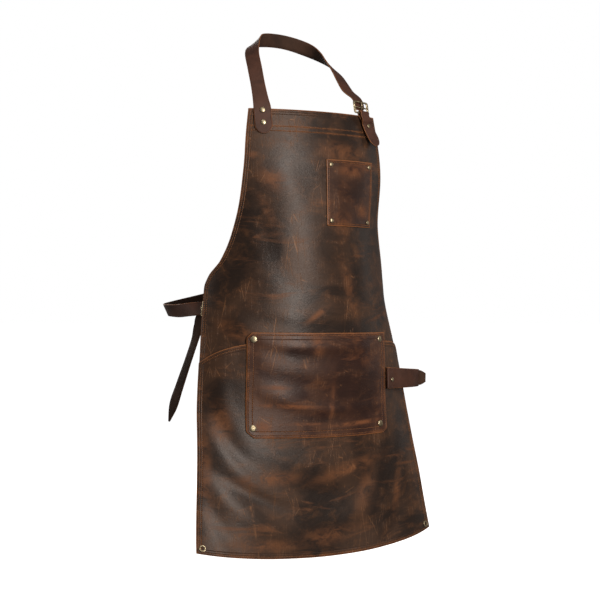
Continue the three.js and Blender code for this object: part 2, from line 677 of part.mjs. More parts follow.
// The neck strap: riveted to the bib, over the right shoulder, round the neck and to its buckle.
function neckStrap() {
  const off = FIT + STRAP_HIDE / 2;
  const end = [0.04, 0.3, 0.65, 1].map((share) => share * (STRAP_END / 2));
  const lap = [...end, STRAP_LAP * 0.7, STRAP_LAP].map((run) =>
    onForm(strapU, STRAP_LAP - run, off, roundEnd(STRAP_END, run)),
  );
  const round = NECK_ROUTE.map(({ side, back, rise, facing, lean }, i) => {
    const point = new THREE.Vector3((side * NECK_WIDTH) / 2, back * NECK_BACK, rise * NECK_RISE);
    return station(point, lookAt(facing, lean), i > 0 ? STRAP : lerp(STRAP, STRAP_END, 0.5));
  });
  const under = [barAt, 0, CENTRE_BAR - 2 * barOff].map((y, i) =>
    station(inPose(neckPose, NECK_FRAME_SHIFT / 2, y, -barOff - PLAY), neckPose.z, i < 2 ? STRAP : STRAP * 0.8),
  );
  const strap = strapGeometry(smoothRoute([...lap, ...round, ...under], 3), STRAP_HIDE);
  const slot = slotGeometry(-ringOut - PLAY, ringOut + PLAY).applyMatrix4(poseMatrix(neckPose));
  return cut(strap, [...boresNear(["strap"]), slot]);
}

// Stations that wrap a strap round a bar of a pose, from its outer side over to its inner side.
function wrapBar(pose, x, barY, radius, way, width) {
  return [-35, 10, 55, 90, 125, 160, 188].map((degrees) => {
    const [c, s] = [Math.cos(radians(degrees)), Math.sin(radians(degrees)) * way];
    const look = pose.z.clone().multiplyScalar(c).addScaledVector(pose.y, s);
    return station(inPose(pose, x, barY + radius * s, radius * c), look, width, pose.x);
  });
}

const turned = ([x, y, z, a, b, c, ...rest]) => [x, y, z, -a, -b, -c, ...rest];

// The tab that holds the neck buckle: folded round its heel bar and riveted to the bib.
function neckTab() {
  const under = FIT + PLAY + STRAP_HIDE / 2;
  const over = under + FIT + STRAP_HIDE;
  const front = [0.02, 0.12, 0.28, 0.45, 0.64, 0.73, 0.82].map((share) => {
    const v = TAB_LAP * (1 - share);
    const free = Math.max(1 - share / 0.64, 0);
    const climb = 5 * Math.max(share - 0.73, 0) * TAB_LIFT;
    const width = roundEnd(TAB, TAB_LAP * share);
    const [x, y, z, ...look] = onForm(tabU(v), v, over + TAB_LIFT * free ** 1.6 + climb, width);
    const side = spot(tabU(v), v).wide.multiplyScalar(clamp(2.2 * (share - 0.4), 0, 1));
    return [x, y, z, ...look.slice(0, 4), ...side.toArray()];
  });
  const fold = wrapBar(neckPose, TAB_ASIDE, -barAt, wrapOff + PLAY, 1, TAB_NECK);
  const back = [
    [0.12, under + 1],
    [0.25, under + 0.3],
    [0.36, under],
    [0.5, under],
  ].map(([share, out]) => turned(onForm(tabU(TAB_LAP * share), TAB_LAP * share, out, TAB_NECK)));
  return cut(strapGeometry(smoothRoute([...front, ...fold, ...back], 2), STRAP_HIDE), boresNear(["tab"]));
}

// The tab that holds the waist buckle, sewn inside the side edge.
function waistTab() {
  const outer = -HIDE - INSIDE_FIT - STRAP_HIDE / 2;
  const inner = outer - FIT - STRAP_HIDE;
  const heel = waistU + barAt;
  const front = [1, 0.7, 0.42, 0.19].map((share) => onForm(heel + share * BELT_TAB, BELT_DROP, outer, BELT));
  const fold = wrapBar(waistPose, 0, -barAt, wrapOff, 1, BELT);
  const back = [0.29, 0.48, 0.7, 1].map((share, i) => {
    const out = lerp(outer - 1.7 * wrapOff, inner, Math.min((i + 1) / 3, 1));
    return turned(onForm(heel + share * BELT_TAB, BELT_DROP, out, BELT));
  });
  return strapGeometry(smoothRoute([...front, ...fold, ...back], 2), STRAP_HIDE);
}

// The waist belt: from its hanging tip up to the buckle, round the back and to the left edge.
function waistBelt() {
  const loose = barOff + BELT_SLACK;
  const tail = TAIL_ROUTE.flatMap(({ side, back, fall, facing }, i) => {
    const rise = new THREE.Vector3(side, back, -fall).multiplyScalar(BELT_TAIL);
    const width = [0.12, 0.93, 1, 1, 1, 1][i] * BELT;
    return [station(waistPose.point.clone().add(rise), lookAt(facing), width)];
  });
  const bend = BELT * 0.75;
  const turn = [75, 50, 30, 15].map((degrees) => {
    const [s, c] = [Math.sin(radians(degrees)), Math.cos(radians(degrees))];
    const depth = -loose - (loose + STRAP_HIDE) * Math.min(1.6 * s, 1.15);
    const point = inPose(waistPose, -bend * (1 - c), bend * s, depth);
    const side = waistPose.x.clone().multiplyScalar(c).addScaledVector(waistPose.y, s);
    return station(point, waistPose.z.clone().negate(), BELT, side);
  });
  const fold = wrapBar(waistPose, 0, 0, loose, -1, BELT).reverse();
  const under = [
    [0.42 * barAt, 0.6],
    [barAt - 0.6 * FRAME_ROD, -barOff - PLAY],
    [barAt + 0.6 * FRAME_ROD, -barOff - PLAY],
  ].map(([y, z]) => station(inPose(waistPose, 0, y, z), waistPose.z, BELT));
  const round = BELT_ROUTE.map(({ side, back, climb, facing, lean }) => {
    const point = new THREE.Vector3(side * WAIST_HALF, back * WAIST_BACK, climb * BELT_RISE - BELT_DROP);
    return station(point, lookAt(facing, lean), BELT);
  });
  const level = BELT_DROP - BELT_RISE * 0.84;
  const inside = [-0.15, 0.4, 1].map((share) =>
    onForm(halfWidth(level) - share * BELT_IN, level, -HIDE - INSIDE_FIT - STRAP_HIDE / 2, BELT),
  );
  const belt = strapGeometry(smoothRoute([...tail, ...turn, ...fold, ...under, ...round, ...inside], 3), STRAP_HIDE);
  const slot = slotGeometry(-loose - STRAP_HIDE, barAt * 0.5).applyMatrix4(poseMatrix(waistPose));
  return cut(belt, [slot]);
}

// The tool loop: a strap folded and riveted at its left, its two runs open for a tool.
function toolLoop() {
  const inner = lapOut + INSIDE_FIT + STRAP_HIDE / 2;
  const outer = inner + LOOP_FOLD + STRAP_HIDE;
  const row = (u, v, out, turn, width, upright = 0) => {
    const look = spot(u, v).normal.lerp(outward(u, v), upright).normalize();
    return station(place(u, v, out), look.applyAxisAngle(new THREE.Vector3(0, 0, 1), radians(turn)), width);
  };
  const { normal, wide } = spot(loopAt, LOOP_DROP);
  const down = normal.clone().cross(wide);
  const rowsOf = (table, base) =>
    table.map(({ along, off, turn, wide }) => {
      const [u, v] = [loopAt + along * LOOP_REACH, LOOP_DROP + LOOP_SAG * along];
      return row(u, v, base + off * LOOP_GAP, turn, lerp(LOOP_TIP, LOOP, wide), clamp(2 * off, 0, 1));
    });
  const fold = [0, 45, 90, 135, 180].map((degrees) => {
    const [s, c] = [Math.sin(radians(degrees)), Math.cos(radians(degrees))];
    const reach = (outer - inner) / 2;
    const point = place(loopAt, LOOP_DROP, (inner + outer) / 2 + reach * c).addScaledVector(wide, -reach * s);
    const look = normal.clone().multiplyScalar(c).addScaledVector(wide, -s);
    return station(point, look, LOOP, down);
  });
  const rows = [...rowsOf(LOOP_FRONT, outer), ...fold, ...rowsOf(LOOP_BACK, inner).map(turned)];
  return cut(strapGeometry(smoothRoute(rows, 2), STRAP_HIDE), boresNear(["loop"]));
}

add("apron_body", apronBody(), hideLeather);
add("lap_panel", lapPanel(), hideLeather);
const frontPocket = pocketGeometry(FRONT_POCKET, 14, 8);
add("front_pocket", cut(frontPocket, boresNear(["front_pocket"])), hideLeather);
const chestPocket = pocketGeometry(CHEST_POCKET, 6, 6);
add("chest_pocket", cut(chestPocket, boresNear(["chest_pocket"])), hideLeather);
add("neck_strap", neckStrap(), strapLeather);
add("neck_buckle_tab", neckTab(), strapLeather);
add("neck_buckle_frame", frameGeometry(NECK_FRAME).applyMatrix4(poseMatrix(neckPose)), oldBrass);
add("neck_buckle_prong", prongGeometry().applyMatrix4(poseMatrix(neckPose)), oldBrass);
add("waist_belt", waistBelt(), strapLeather);
add("waist_buckle_tab", waistTab(), strapLeather);
add("waist_buckle_frame", frameGeometry(WAIST_FRAME).applyMatrix4(poseMatrix(waistPose)), oldBrass);
add("waist_buckle_prong", prongGeometry().applyMatrix4(poseMatrix(waistPose)), oldBrass);
add("tool_loop", toolLoop(), strapLeather);
for (const rivet of rivets) add(rivet.name, rivetGeometry(rivet), oldBrass);
for (const eyelet of eyeletSpots) add(eyelet.name, eyeletGeometry(eyelet), oldBrass);

// The origin sits where the strap bears on the back of the neck.
const neckTop = Math.max(...NECK_ROUTE.map(({ rise }) => rise));
apron.position.set(0, -NECK_BACK + STRAP_HIDE / 2, -neckTop * NECK_RISE);

export default apron;
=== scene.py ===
# The looks of a leather work apron in its worn form: distressed hide, stitched patch pockets,
# riveted straps, brass buckles and a tool loop.
# The form is worked out in millimetres from the middle of the body, and set in the part's frame in metres.
import math

import bpy
import numpy as np
from mathutils import Matrix, Vector


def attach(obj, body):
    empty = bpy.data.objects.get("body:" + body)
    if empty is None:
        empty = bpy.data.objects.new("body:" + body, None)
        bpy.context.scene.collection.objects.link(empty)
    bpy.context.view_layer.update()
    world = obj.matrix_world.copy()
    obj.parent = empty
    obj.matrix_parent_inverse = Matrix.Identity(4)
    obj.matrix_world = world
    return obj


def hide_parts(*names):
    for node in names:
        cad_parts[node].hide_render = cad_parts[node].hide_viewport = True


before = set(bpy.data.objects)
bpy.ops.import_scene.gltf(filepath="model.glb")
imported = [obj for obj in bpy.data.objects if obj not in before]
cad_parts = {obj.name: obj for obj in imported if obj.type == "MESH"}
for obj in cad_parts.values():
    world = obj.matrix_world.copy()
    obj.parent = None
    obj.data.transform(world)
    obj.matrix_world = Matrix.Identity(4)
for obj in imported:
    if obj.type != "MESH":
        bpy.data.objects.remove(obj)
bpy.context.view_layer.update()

# The hide and what is laid on it
APRON_LENGTH = 855
BIB_HALF = 146
SKIRT_HALF = 248
BODY_DEPTH = 140
HIDE = 2
HEM_RISE = 23
HEM_TWIST = 17
FIT = 0.6
INSIDE_FIT = 0.9
PLAY = 0.4
LAP_OUT = FIT + 2
LAP_TOP = 443
LAP_ARCH = 43
LAP_SWEEP = {"right": 4.5, "left": 12}
LAP_BULGE = 3.2
LAP_MOUTH = {"middle": 0.84, "half": 0.15, "deep": 0.16}
POCKET_HIDE = 1.8
POCKET_BULGE = 2.4
POCKET_RIM = 26
FRONT_POCKET = {
    "left": -157,
    "top": 426,
    "width": 317,
    "height": 200,
    "cut_top": 10,
    "cut_left": 15,
    "cut_right": 11,
    "rows": (4.5, 12.5),
    "rivet_in": 13,
    "cap": 13,
    "grid": (96, 74),
}
CHEST_POCKET = {
    "left": 3,
    "top": 93,
    "width": 120,
    "height": 127,
    "cut_top": 0,
    "cut_left": 0,
    "cut_right": 0,
    "rows": (4.5,),
    "rivet_in": 9.5,
    "cap": 9,
    "grid": (46, 48),
}
HIDE_GRID = (131, 241)
LAP_GRID = (131, 116)

# Stitch rows, in from the sides, down from the bib's top, up from the hem and down from the lap panel's top
SIDE_ROWS = (5.0, 9.5)
TOP_ROWS = (33.0, 42.0)
HEM_ROW = 4.0
LAP_ROW = 6.5
STITCH_PITCH = 3.7
STITCH = 2.9
THREAD = 0.75
STEP_DOWN = 9.0
STEP_ACROSS = 8.0

# Straps, belt and loop
STRAP = 28
STRAP_HIDE = 2.4
STRAP_END = 34
STRAP_LAP = 48
STRAP_IN = 26
NECK_WIDTH = 180
NECK_BACK = 65
NECK_RISE = 160
TAB = 32
TAB_IN = 39
TAB_LAP = 58
TAB_SLANT = 24
TAB_LIFT = 8
TAB_NECK = 24
TAB_ASIDE = 5.4
TAB_RIVET_AT = 0.36
BELT = 26
BELT_DROP = 381
BELT_RISE = 36
WAIST_BACK = 178
WAIST_HALF = 226
BELT_TAIL = 222
BELT_SLACK = 0.6
BELT_TAB = 42
BELT_IN = 26
LOOP = 42
LOOP_TIP = 31
LOOP_BESIDE = 8
LOOP_DROP = 518
LOOP_SAG = 4
LOOP_REACH = 75
LOOP_GAP = 24
LOOP_FOLD = 1.8
LOOP_RIVET_IN = 11

# Metal
RIVET_SHAFT = 3.2
RIVET_DOME = 2.2
STRAP_CAP = 11
SMALL_CAP = 9
EYELET = 13
EYELET_BORE = 7
EYELET_IN = 11
EYELET_ROLL = 1.2
WASHER = 0.8
NECK_FRAME = 43
WAIST_FRAME = 34
FRAME_ALONG = 26
FRAME_ROD = 3.4
FRAME_CORNER = 3.2
CENTRE_BAR = 2.6
CENTRE_BAR_DEEP = 3.2
PRONG = 3
PRONG_DEEP = 1.44
END_BAR_SWELL = 1.9
NECK_FRAME_DROP = -15
NECK_FRAME_SHIFT = -2.5
NECK_FRAME_OFF = 4.4
NECK_FRAME_LEAN = 12
NECK_FRAME_TURN = 3
WAIST_FRAME_IN = 6

# What follows from these sizes
INSIDE = -HIDE - INSIDE_FIT
BELT_INSIDE = INSIDE - STRAP_HIDE / 2
LOOP_AT = FRONT_POCKET["left"] + FRONT_POCKET["width"] + LOOP_BESIDE
WAIST_U = WAIST_FRAME_IN - SKIRT_HALF
WRAP_OFF = FRAME_ROD * 0.71 + PLAY / 2 + STRAP_HIDE / 2
BAR_OFF = FRAME_ROD / 2 + PLAY + STRAP_HIDE / 2
BAR_AT = (FRAME_ALONG - FRAME_ROD) / 2

MM = 0.001
PER_METRE = 1000
ORIGIN = np.array([0.0, NECK_BACK - STRAP_HIDE / 2, NECK_RISE])

# Half width down the hide: share of its length, share from BIB_HALF to SKIRT_HALF
OUTLINE_DROP = [0, 0.07, 0.14, 0.21, 0.28, 0.34, 0.375, 0.4, 0.43, 0.7, 1]
OUTLINE_SPREAD = [0, 0.1, 0.165, 0.24, 0.4, 0.64, 0.9, 0.99, 1, 1, 1.14]

# The form over the body: share of its length, depth, even bend and curl of the edges
FORM_DROP = [0, 0.12, 0.26, 0.4, 0.53, 0.7, 1]
FORM_DEPTH = [0.81, 0.93, 0.965, 1, 0.993, 0.92, 0.92]
FORM_BEND = [41, 42, 55, 50, 38, 22, -14]
FORM_CURL = [15, 17, 20, 19, 16, 13, 34]

# Neck strap: side, back, rise, facing, lean
NECK_ROUTE = [
    (-1.32, -1.38, 0.09, -25, 20),
    (-1.3, -1.17, 0.26, -28, 28),
    (-1.24, -0.77, 0.525, -32, 34),
    (-1.14, -0.34, 0.725, -45, 44),
    (-0.97, 0.03, 0.84, -72, 48),
    (-0.73, 0.43, 0.925, -105, 36),
    (-0.44, 0.77, 0.975, -138, 18),
    (-0.11, 0.97, 1, -166, 10),
    (0.24, 1.02, 0.995, -184, 7),
    (0.56, 0.93, 0.955, -208, 9),
    (0.81, 0.67, 0.88, -238, 26),
    (0.925, 0.34, 0.79, -272, 38),
    (0.965, -0.05, 0.68, -306, 46),
    (0.99, -0.43, 0.555, -330, 49),
    (0.98, -0.74, 0.44, -343, 49),
    (0.98, -1.05, 0.32, -350, 45),
]

# Waist belt: side, back, climb, facing, lean
BELT_ROUTE = [
    (-0.955, 0.05, -0.08, -99, -5),
    (-0.985, 0.25, -0.16, -99, -15),
    (-1, 0.44, -0.16, -104, -25),
    (-0.965, 0.62, -0.12, -133, -22),
    (-0.83, 0.79, 0, -154, -10),
    (-0.63, 0.91, 0.22, -164, 0),
    (-0.4, 0.98, 0.5, -172, 0),
    (0, 1, 0.86, -181, 0),
    (0.43, 0.98, 1, -190, 0),
    (0.81, 0.78, 1, -214, 0),
    (0.99, 0.42, 0.95, -256, 0),
    (0.965, 0.08, 0.86, -268, 0),
]

# The belt's hanging end: side, back, fall, facing
TAIL_ROUTE = [
    (-0.147, 0.43, 1, 102),
    (-0.13, 0.39, 0.87, 99),
    (-0.103, 0.32, 0.69, 94),
    (-0.069, 0.23, 0.47, 88),
    (-0.04, 0.15, 0.27, 90),
    (-0.027, 0.11, 0.15, 102),
]

# The tool loop's two runs: along, off, turn, wide
LOOP_FRONT = [
    (1.05, 1.2, -22, 0.3),
    (0.88, 1.08, -22, 0.45),
    (0.68, 0.78, -22, 0.6),
    (0.47, 0.4, -18, 0.75),
    (0.29, 0.09, -8, 0.9),
    (0.2, 0, 0, 0.95),
    (0.08, 0, 0, 1),
]
LOOP_BACK = [
    (0.14, 0, 0, 1),
    (0.43, 0, 0, 0.8),
    (0.72, 0.01, 0, 0.6),
    (0.95, 0.04, -6, 0.4),
    (1.1, 0.2, -40, 0.25),
    (1.17, 0.5, -80, 0.15),
    (1.16, 0.85, -98, 0.05),
    (1.11, 1.22, -95, 0),
    (1.12, 1.55, -72, -0.2),
    (1.18, 1.9, -60, -1.2),
]

# Soft folds of the hide: across, down, half length, half width, turn in degrees, height
HIDE_FOLDS = [
    (-70, 150, 70, 30, 62, 2.2),
    (-112, 270, 80, 26, 70, -2.6),
    (-30, 300, 90, 40, 80, 1.6),
    (60, 300, 80, 28, 95, -1.6),
    (-175, 405, 60, 20, 35, 2.2),
    (-60, 395, 110, 16, 5, 1.6),
    (90, 400, 90, 16, -8, -1.4),
    (-200, 560, 60, 18, 78, 2.6),
    (-185, 640, 70, 20, 62, -3.2),
    (-165, 690, 80, 20, 40, 3.4),
    (-150, 735, 90, 16, 24, -3.4),
    (-160, 775, 90, 20, 30, 2.8),
    (-210, 800, 70, 18, 60, -2.4),
    (-40, 675, 110, 22, 8, 2.2),
    (-20, 730, 120, 20, 4, -2.2),
    (70, 780, 110, 24, -10, 1.8),
    (150, 690, 80, 22, -60, 2.2),
    (190, 760, 80, 20, -72, -2.2),
    (205, 640, 70, 20, -80, 1.8),
]

# Folds of the front pocket, all outwards
POCKET_FOLDS = [
    (-60, 452, 95, 13, 4, 3.2),
    (60, 455, 80, 12, -3, 2.2),
    (-20, 505, 120, 20, 6, 2.4),
    (-85, 545, 55, 18, 10, 2.6),
    (20, 574, 110, 12, 3, 2.8),
    (80, 530, 60, 26, -75, 1.6),
]


def cos_sin(degrees):
    return math.cos(math.radians(degrees)), math.sin(math.radians(degrees))


def column(drops, values):
    """A smooth column of a table that never overshoots, as a function of the share down the hide."""
    d, y = np.array(drops, float), np.array(values, float)
    gap = np.diff(d)
    rise = np.diff(y) / gap
    slope = np.empty(len(d))
    slope[0], slope[-1] = rise[0], rise[-1]
    for i in range(1, len(d) - 1):
        a, b = rise[i - 1], rise[i]
        slope[i] = 0 if a * b <= 0 else 2 * a * b / (a + b)
    x = np.linspace(0, 1, 4001)
    k = np.clip(np.searchsorted(d, x, side="right") - 1, 0, len(gap) - 1)
    t = (x - d[k]) / gap[k]
    ease = t * t * (3 - 2 * t)
    bulge = t * (1 - t) * gap[k] * (slope[k] * (1 - t) - slope[k + 1] * t)
    dense = y[k] + (y[k + 1] - y[k]) * ease + bulge
    return lambda share: np.interp(share, x, dense)


spread_at = column(OUTLINE_DROP, OUTLINE_SPREAD)
depth_at = column(FORM_DROP, FORM_DEPTH)
bend_at = column(FORM_DROP, FORM_BEND)
curl_at = column(FORM_DROP, FORM_CURL)


def half_width(v):
    return BIB_HALF + (SKIRT_HALF - BIB_HALF) * spread_at(v / APRON_LENGTH)


def wrap_angle(u, v):
    """How far the form has turned from the front, in radians."""
    drop = np.clip(v / APRON_LENGTH, 0, 1)
    t = u / SKIRT_HALF
    return (bend_at(drop) * t + curl_at(drop) * t**3) * math.pi / 180


def hem_lift(u, v):
    """How far the corners of the hem hang higher than its middle, the left one most."""
    low = np.clip((v / APRON_LENGTH - 0.4) / 0.6, 0, 1.1) ** 2
    t = u / half_width(APRON_LENGTH)
    return low * (HEM_RISE * t * t + HEM_TWIST * np.maximum(t, 0) ** 2)


def outward(u, v):
    """The level way out of the form."""
    angle = wrap_angle(u, v)
    return np.stack([np.sin(angle), -np.cos(angle), np.zeros_like(angle)], -1)


# Steps in which the arc from the centre line to a place is added up
ARC_STEPS = 24


def place(u, v, out=0.0):
    """Places on the form: u across from the centre line, v down from the bib's top, out of the hide."""
    u, v, out = np.broadcast_arrays(np.asarray(u, float), np.asarray(v, float), np.asarray(out, float))
    x = np.zeros(u.shape)
    y = -BODY_DEPTH * depth_at(np.clip(v / APRON_LENGTH, 0, 1))
    for i in range(ARC_STEPS):
        angle = wrap_angle((i + 0.5) / ARC_STEPS * u, v)
        x = x + np.cos(angle) * u / ARC_STEPS
        y = y + np.sin(angle) * u / ARC_STEPS
    return np.stack([x, y, hem_lift(u, v) - v], -1) + outward(u, v) * out[..., None]


def folds(rows, u, v):
    """Height of soft folds at u, v."""
    height = np.zeros(np.broadcast(u, v).shape)
    for across, down, long, wide, turn, rise in rows:
        c, s = cos_sin(turn)
        along = (u - across) * c + (v - down) * s
        aside = (v - down) * c - (u - across) * s + along * along / (9 * long)
        height = height + rise * np.exp(-((along / long) ** 2) - (aside / wide) ** 2)
    return height


def relief(u, v):
    """The hide's own unevenness, which all that is laid on it follows. It fades at the bib's top."""
    ripple = 0.5 * np.sin(u / 31 + v / 57) * np.sin(v / 43 - u / 90) + 0.3 * np.sin(u / 17 - v / 29)
    calm = np.clip(v / 120, 0, 1) ** 1.5
    return calm * (folds(HIDE_FOLDS, u, v) + ripple)


def unit(vectors):
    return vectors / np.maximum(np.linalg.norm(vectors, axis=-1, keepdims=True), 1e-9)


def spot(u, v, out=0.0):
    """A point on the form with its true outward normal and the way across."""
    wide = unit(place(u + 0.5, v) - place(u - 0.5, v))
    down = place(u, v + 0.5) - place(u, v - 0.5)
    return place(u, v, out), unit(np.cross(down, wide)), wide


# Meshes


def directions(path, closed=False):
    """The way that a path runs at each of its points."""
    if closed:
        return unit(np.roll(path, -1, 0) - np.roll(path, 1, 0))
    return unit(np.vstack([path[1] - path[0], path[2:] - path[:-2], path[-1] - path[-2]]))


def make(name, points, faces, finishes, face_finish=None, uv=None, edge=None):
    """A named piece from points in millimetres. uv and edge give each point its place and edge distance."""
    mesh = bpy.data.meshes.new(name)
    mesh.from_pydata(((np.asarray(points) - ORIGIN) * MM).tolist(), [], faces)
    for finish in finishes:
        mesh.materials.append(finish)
    if face_finish is not None:
        mesh.polygons.foreach_set("material_index", face_finish)
    mesh.polygons.foreach_set("use_smooth", [True] * len(mesh.polygons))
    corners = np.zeros(len(mesh.loops), int)
    mesh.loops.foreach_get("vertex_index", corners)
    if uv is not None:
        layer = mesh.uv_layers.new(name="UVMap")
        layer.data.foreach_set("uv", (np.asarray(uv)[corners] * MM).ravel())
    if edge is not None:
        held = mesh.attributes.new("edge", "FLOAT", "POINT")
        held.data.foreach_set("value", np.asarray(edge, float) * MM)
    mesh.update()
    piece = bpy.data.objects.new(name, mesh)
    bpy.context.scene.collection.objects.link(piece)
    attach(piece, "root")
    return piece


def stand_in(piece, node):
    """Shows the piece in the place of a solid."""
    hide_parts(node)
    return piece


def skin(rings, sides, flip=False, closed=False):
    """Faces round a tube through rings of points."""
    faces = []
    for i in range(rings if closed else rings - 1):
        near, far = i * sides, (i + 1) % rings * sides
        for c in range(sides):
            d = (c + 1) % sides
            quad = (near + c, far + c, far + d, near + d)
            faces.append((quad[0], *quad[:0:-1]) if flip else quad)
    return faces


def end_faces(rings, sides, flip=False):
    """The two faces that close a tube."""
    first, last = range(sides), range((rings - 1) * sides, rings * sides)
    if flip:
        return [tuple(reversed(first)), tuple(last)]
    return [tuple(first), tuple(reversed(last))]


def grid_faces(rows, columns, start=0, flip=False):
    faces = []
    for r in range(rows - 1):
        for c in range(columns - 1):
            k = start + r * columns + c
            quad = (k, k + columns, k + columns + 1, k + 1)
            faces.append(quad[::-1] if flip else quad)
    return faces


# The order of a leather's finishes
FACE, EDGE, BACK = 0, 1, 2

# Rings round a cut edge: share of the thickness down, and share of it outwards
CUT_EDGE = ((0.22, 0.16), (0.5, 0.24), (0.78, 0.16))


def leather(name, u, v, out, thick, edge, finishes):
    """A cut leather over a grid of u, v with a rounded cut edge. The finishes are face, edge and back."""
    rows, columns = u.shape
    outer = place(u, v, out)
    inner = place(u, v, out - thick)
    ring = [(0, c) for c in range(columns)] + [(r, columns - 1) for r in range(1, rows)]
    ring += [(rows - 1, c) for c in range(columns - 2, -1, -1)] + [(r, 0) for r in range(rows - 2, 0, -1)]
    flat = np.array([r * columns + c for r, c in ring])
    top, low = outer.reshape(-1, 3)[flat], inner.reshape(-1, 3)[flat]
    away = unit(np.cross(directions(top, closed=True), unit(top - low)))
    middle = outer.reshape(-1, 3).mean(0)
    if np.mean(np.sum(away * (top - middle), 1)) < 0:
        away = -away
    count = rows * columns
    rings = [top + (low - top) * k + away * proud * thick for k, proud in CUT_EDGE]
    points = np.concatenate([outer.reshape(-1, 3), inner.reshape(-1, 3), *rings])
    faces = grid_faces(rows, columns) + grid_faces(rows, columns, count, flip=True)
    cells = (rows - 1) * (columns - 1)
    kinds = [FACE] * cells + [BACK] * cells
    n = len(flat)
    bands = [flat, *[np.arange(n) + 2 * count + i * n for i in range(len(CUT_EDGE))], flat + count]
    for a, b in zip(bands, bands[1:]):
        for i in range(n):
            j = (i + 1) % n
            faces.append((int(a[i]), int(a[j]), int(b[j]), int(b[i])))
            kinds.append(EDGE)
    flat_uv = np.stack([u, v], -1).reshape(-1, 2)
    uv = np.concatenate([flat_uv, flat_uv, *[flat_uv[flat]] * len(CUT_EDGE)])
    far = np.concatenate([edge.ravel(), edge.ravel(), np.zeros(len(CUT_EDGE) * n)])
    return make(name, points, faces, finishes, kinds, uv, far)


ROUTE_STEPS = 7
SHORT_STEP = 0.7


def smooth_route(rows):
    """The same route as the part's straps take, in short steps between each two rows."""
    rows = [np.asarray(r, float) for r in rows]
    gaps = [max(float(np.linalg.norm(b[:3] - a[:3])), 1e-6) for a, b in zip(rows, rows[1:])]
    rate = [(b - a) / g for a, b, g in zip(rows, rows[1:], gaps)]
    slope = [rate[0]]
    for i in range(1, len(gaps)):
        slope.append((gaps[i] * rate[i - 1] + gaps[i - 1] * rate[i]) / (gaps[i - 1] + gaps[i]))
    slope.append(rate[-1])
    made = []
    for i, gap in enumerate(gaps):
        count = int(min(max(gap // SHORT_STEP, 1), ROUTE_STEPS))
        for k in range(count):
            f = k / count
            ease = f * f * (3 - 2 * f)
            leave, arrive = f * (1 - f) ** 2 * gap, f * f * (f - 1) * gap
            made.append(rows[i] + (rows[i + 1] - rows[i]) * ease + leave * slope[i] + arrive * slope[i + 1])
    return np.array([*made, rows[-1]])


def look_at(facing, lean=0.0):
    """Where a strap's outer face looks: facing 0 is forwards, and a lean is upwards."""
    (ahead, aside), (level, rise) = cos_sin(facing), cos_sin(lean)
    return np.array([level * aside, -level * ahead, rise])


def turned_up(vector, degrees):
    """A vector turned about the upright."""
    c, s = cos_sin(degrees)
    return np.array([c * vector[0] - s * vector[1], s * vector[0] + c * vector[1], vector[2]])


def station(point, look, width, side=(0, 0, 0)):
    """A row of a strap's route: where it is, where its outer face looks, how wide it is and its held side."""
    return [*point, *look, width, *side]


def turned(row):
    """The same row with the outer face turned inwards."""
    return [*row[:3], *(-np.asarray(row[3:6])), *row[6:]]


def on_form(u, v, out, width):
    point, normal, _ = spot(u, v, out + float(relief(u, v)))
    return station(point, normal, width)


# A strap's section: share of the half width, share of the half thickness, finish of the strip that follows
STRAP_SECTION = [
    (0.97, 0.96, FACE),
    (0.86, 1.0, FACE),
    (0.45, 1.04, FACE),
    (0.0, 1.06, FACE),
    (-0.45, 1.04, FACE),
    (-0.86, 1.0, FACE),
    (-0.97, 0.96, EDGE),
    (-1.0, 0.5, EDGE),
    (-1.0, -0.5, EDGE),
    (-0.97, -0.96, BACK),
    (-0.45, -1.0, BACK),
    (0.45, -1.0, BACK),
    (0.97, -0.96, EDGE),
    (1.0, -0.5, EDGE),
    (1.0, 0.5, EDGE),
]


# The finish of a strap's flesh side is taken this far beside that of its outer face
BACK_BESIDE = 80


def strap(name, stations, finishes):
    """A flat strap with soft edges along its stations, closed at both ends."""
    rows = smooth_route(stations)
    middles = rows[:, :3]
    run = directions(middles)
    square = unit(np.cross(rows[:, 3:6], run))
    side = rows[:, 7:10].copy()
    side[np.sum(side * square, 1) < 0] *= -1
    folded = np.clip(np.linalg.norm(side, axis=1, keepdims=True), 0, 1)
    wide = unit(square * (1 - folded) + side)
    out = unit(np.cross(run, wide))
    half = np.maximum(rows[:, 6:7] / 2, 0.5)
    travelled = np.concatenate([[0], np.cumsum(np.linalg.norm(np.diff(middles, axis=0), axis=1))])
    points, uv, edge = [], [], []
    for i in range(len(rows)):
        for s, f, _ in STRAP_SECTION:
            points.append(middles[i] + wide[i] * s * half[i] + out[i] * f * STRAP_HIDE / 2)
            uv.append((s * half[i, 0] + (BACK_BESIDE if f < 0 else 0), travelled[i]))
            ends = min(travelled[i], travelled[-1] - travelled[i])
            edge.append(min((1 - abs(s)) * half[i, 0], ends + 0.2))
    sides = len(STRAP_SECTION)
    faces = skin(len(rows), sides) + end_faces(len(rows), sides)
    kinds = [kind for _, _, kind in STRAP_SECTION] * (len(rows) - 1) + [EDGE, EDGE]
    return make(name, points, faces, finishes, kinds, uv, edge)


LATHE_SIDES = 36


def lathe(profile):
    """Points and faces of a turned piece about +Z from radius and height pairs."""
    angles = [2 * math.pi * k / LATHE_SIDES for k in range(LATHE_SIDES)]
    points = [(r * math.cos(a), r * math.sin(a), h) for r, h in profile for a in angles]
    return np.array(points), skin(len(profile), LATHE_SIDES, flip=True)


def pose_of(point, x, y, z):
    """A fitting's place and the three ways of its own frame."""
    return {"point": point, "x": x, "y": y, "z": z}


def in_pose(pose, x, y, z):
    """A place in a fitting's own frame, as a place round the body."""
    return pose["point"] + pose["x"] * x + pose["y"] * y + pose["z"] * z


def all_in_pose(pose, points):
    return in_pose(pose, points[:, 0:1], points[:, 1:2], points[:, 2:3])


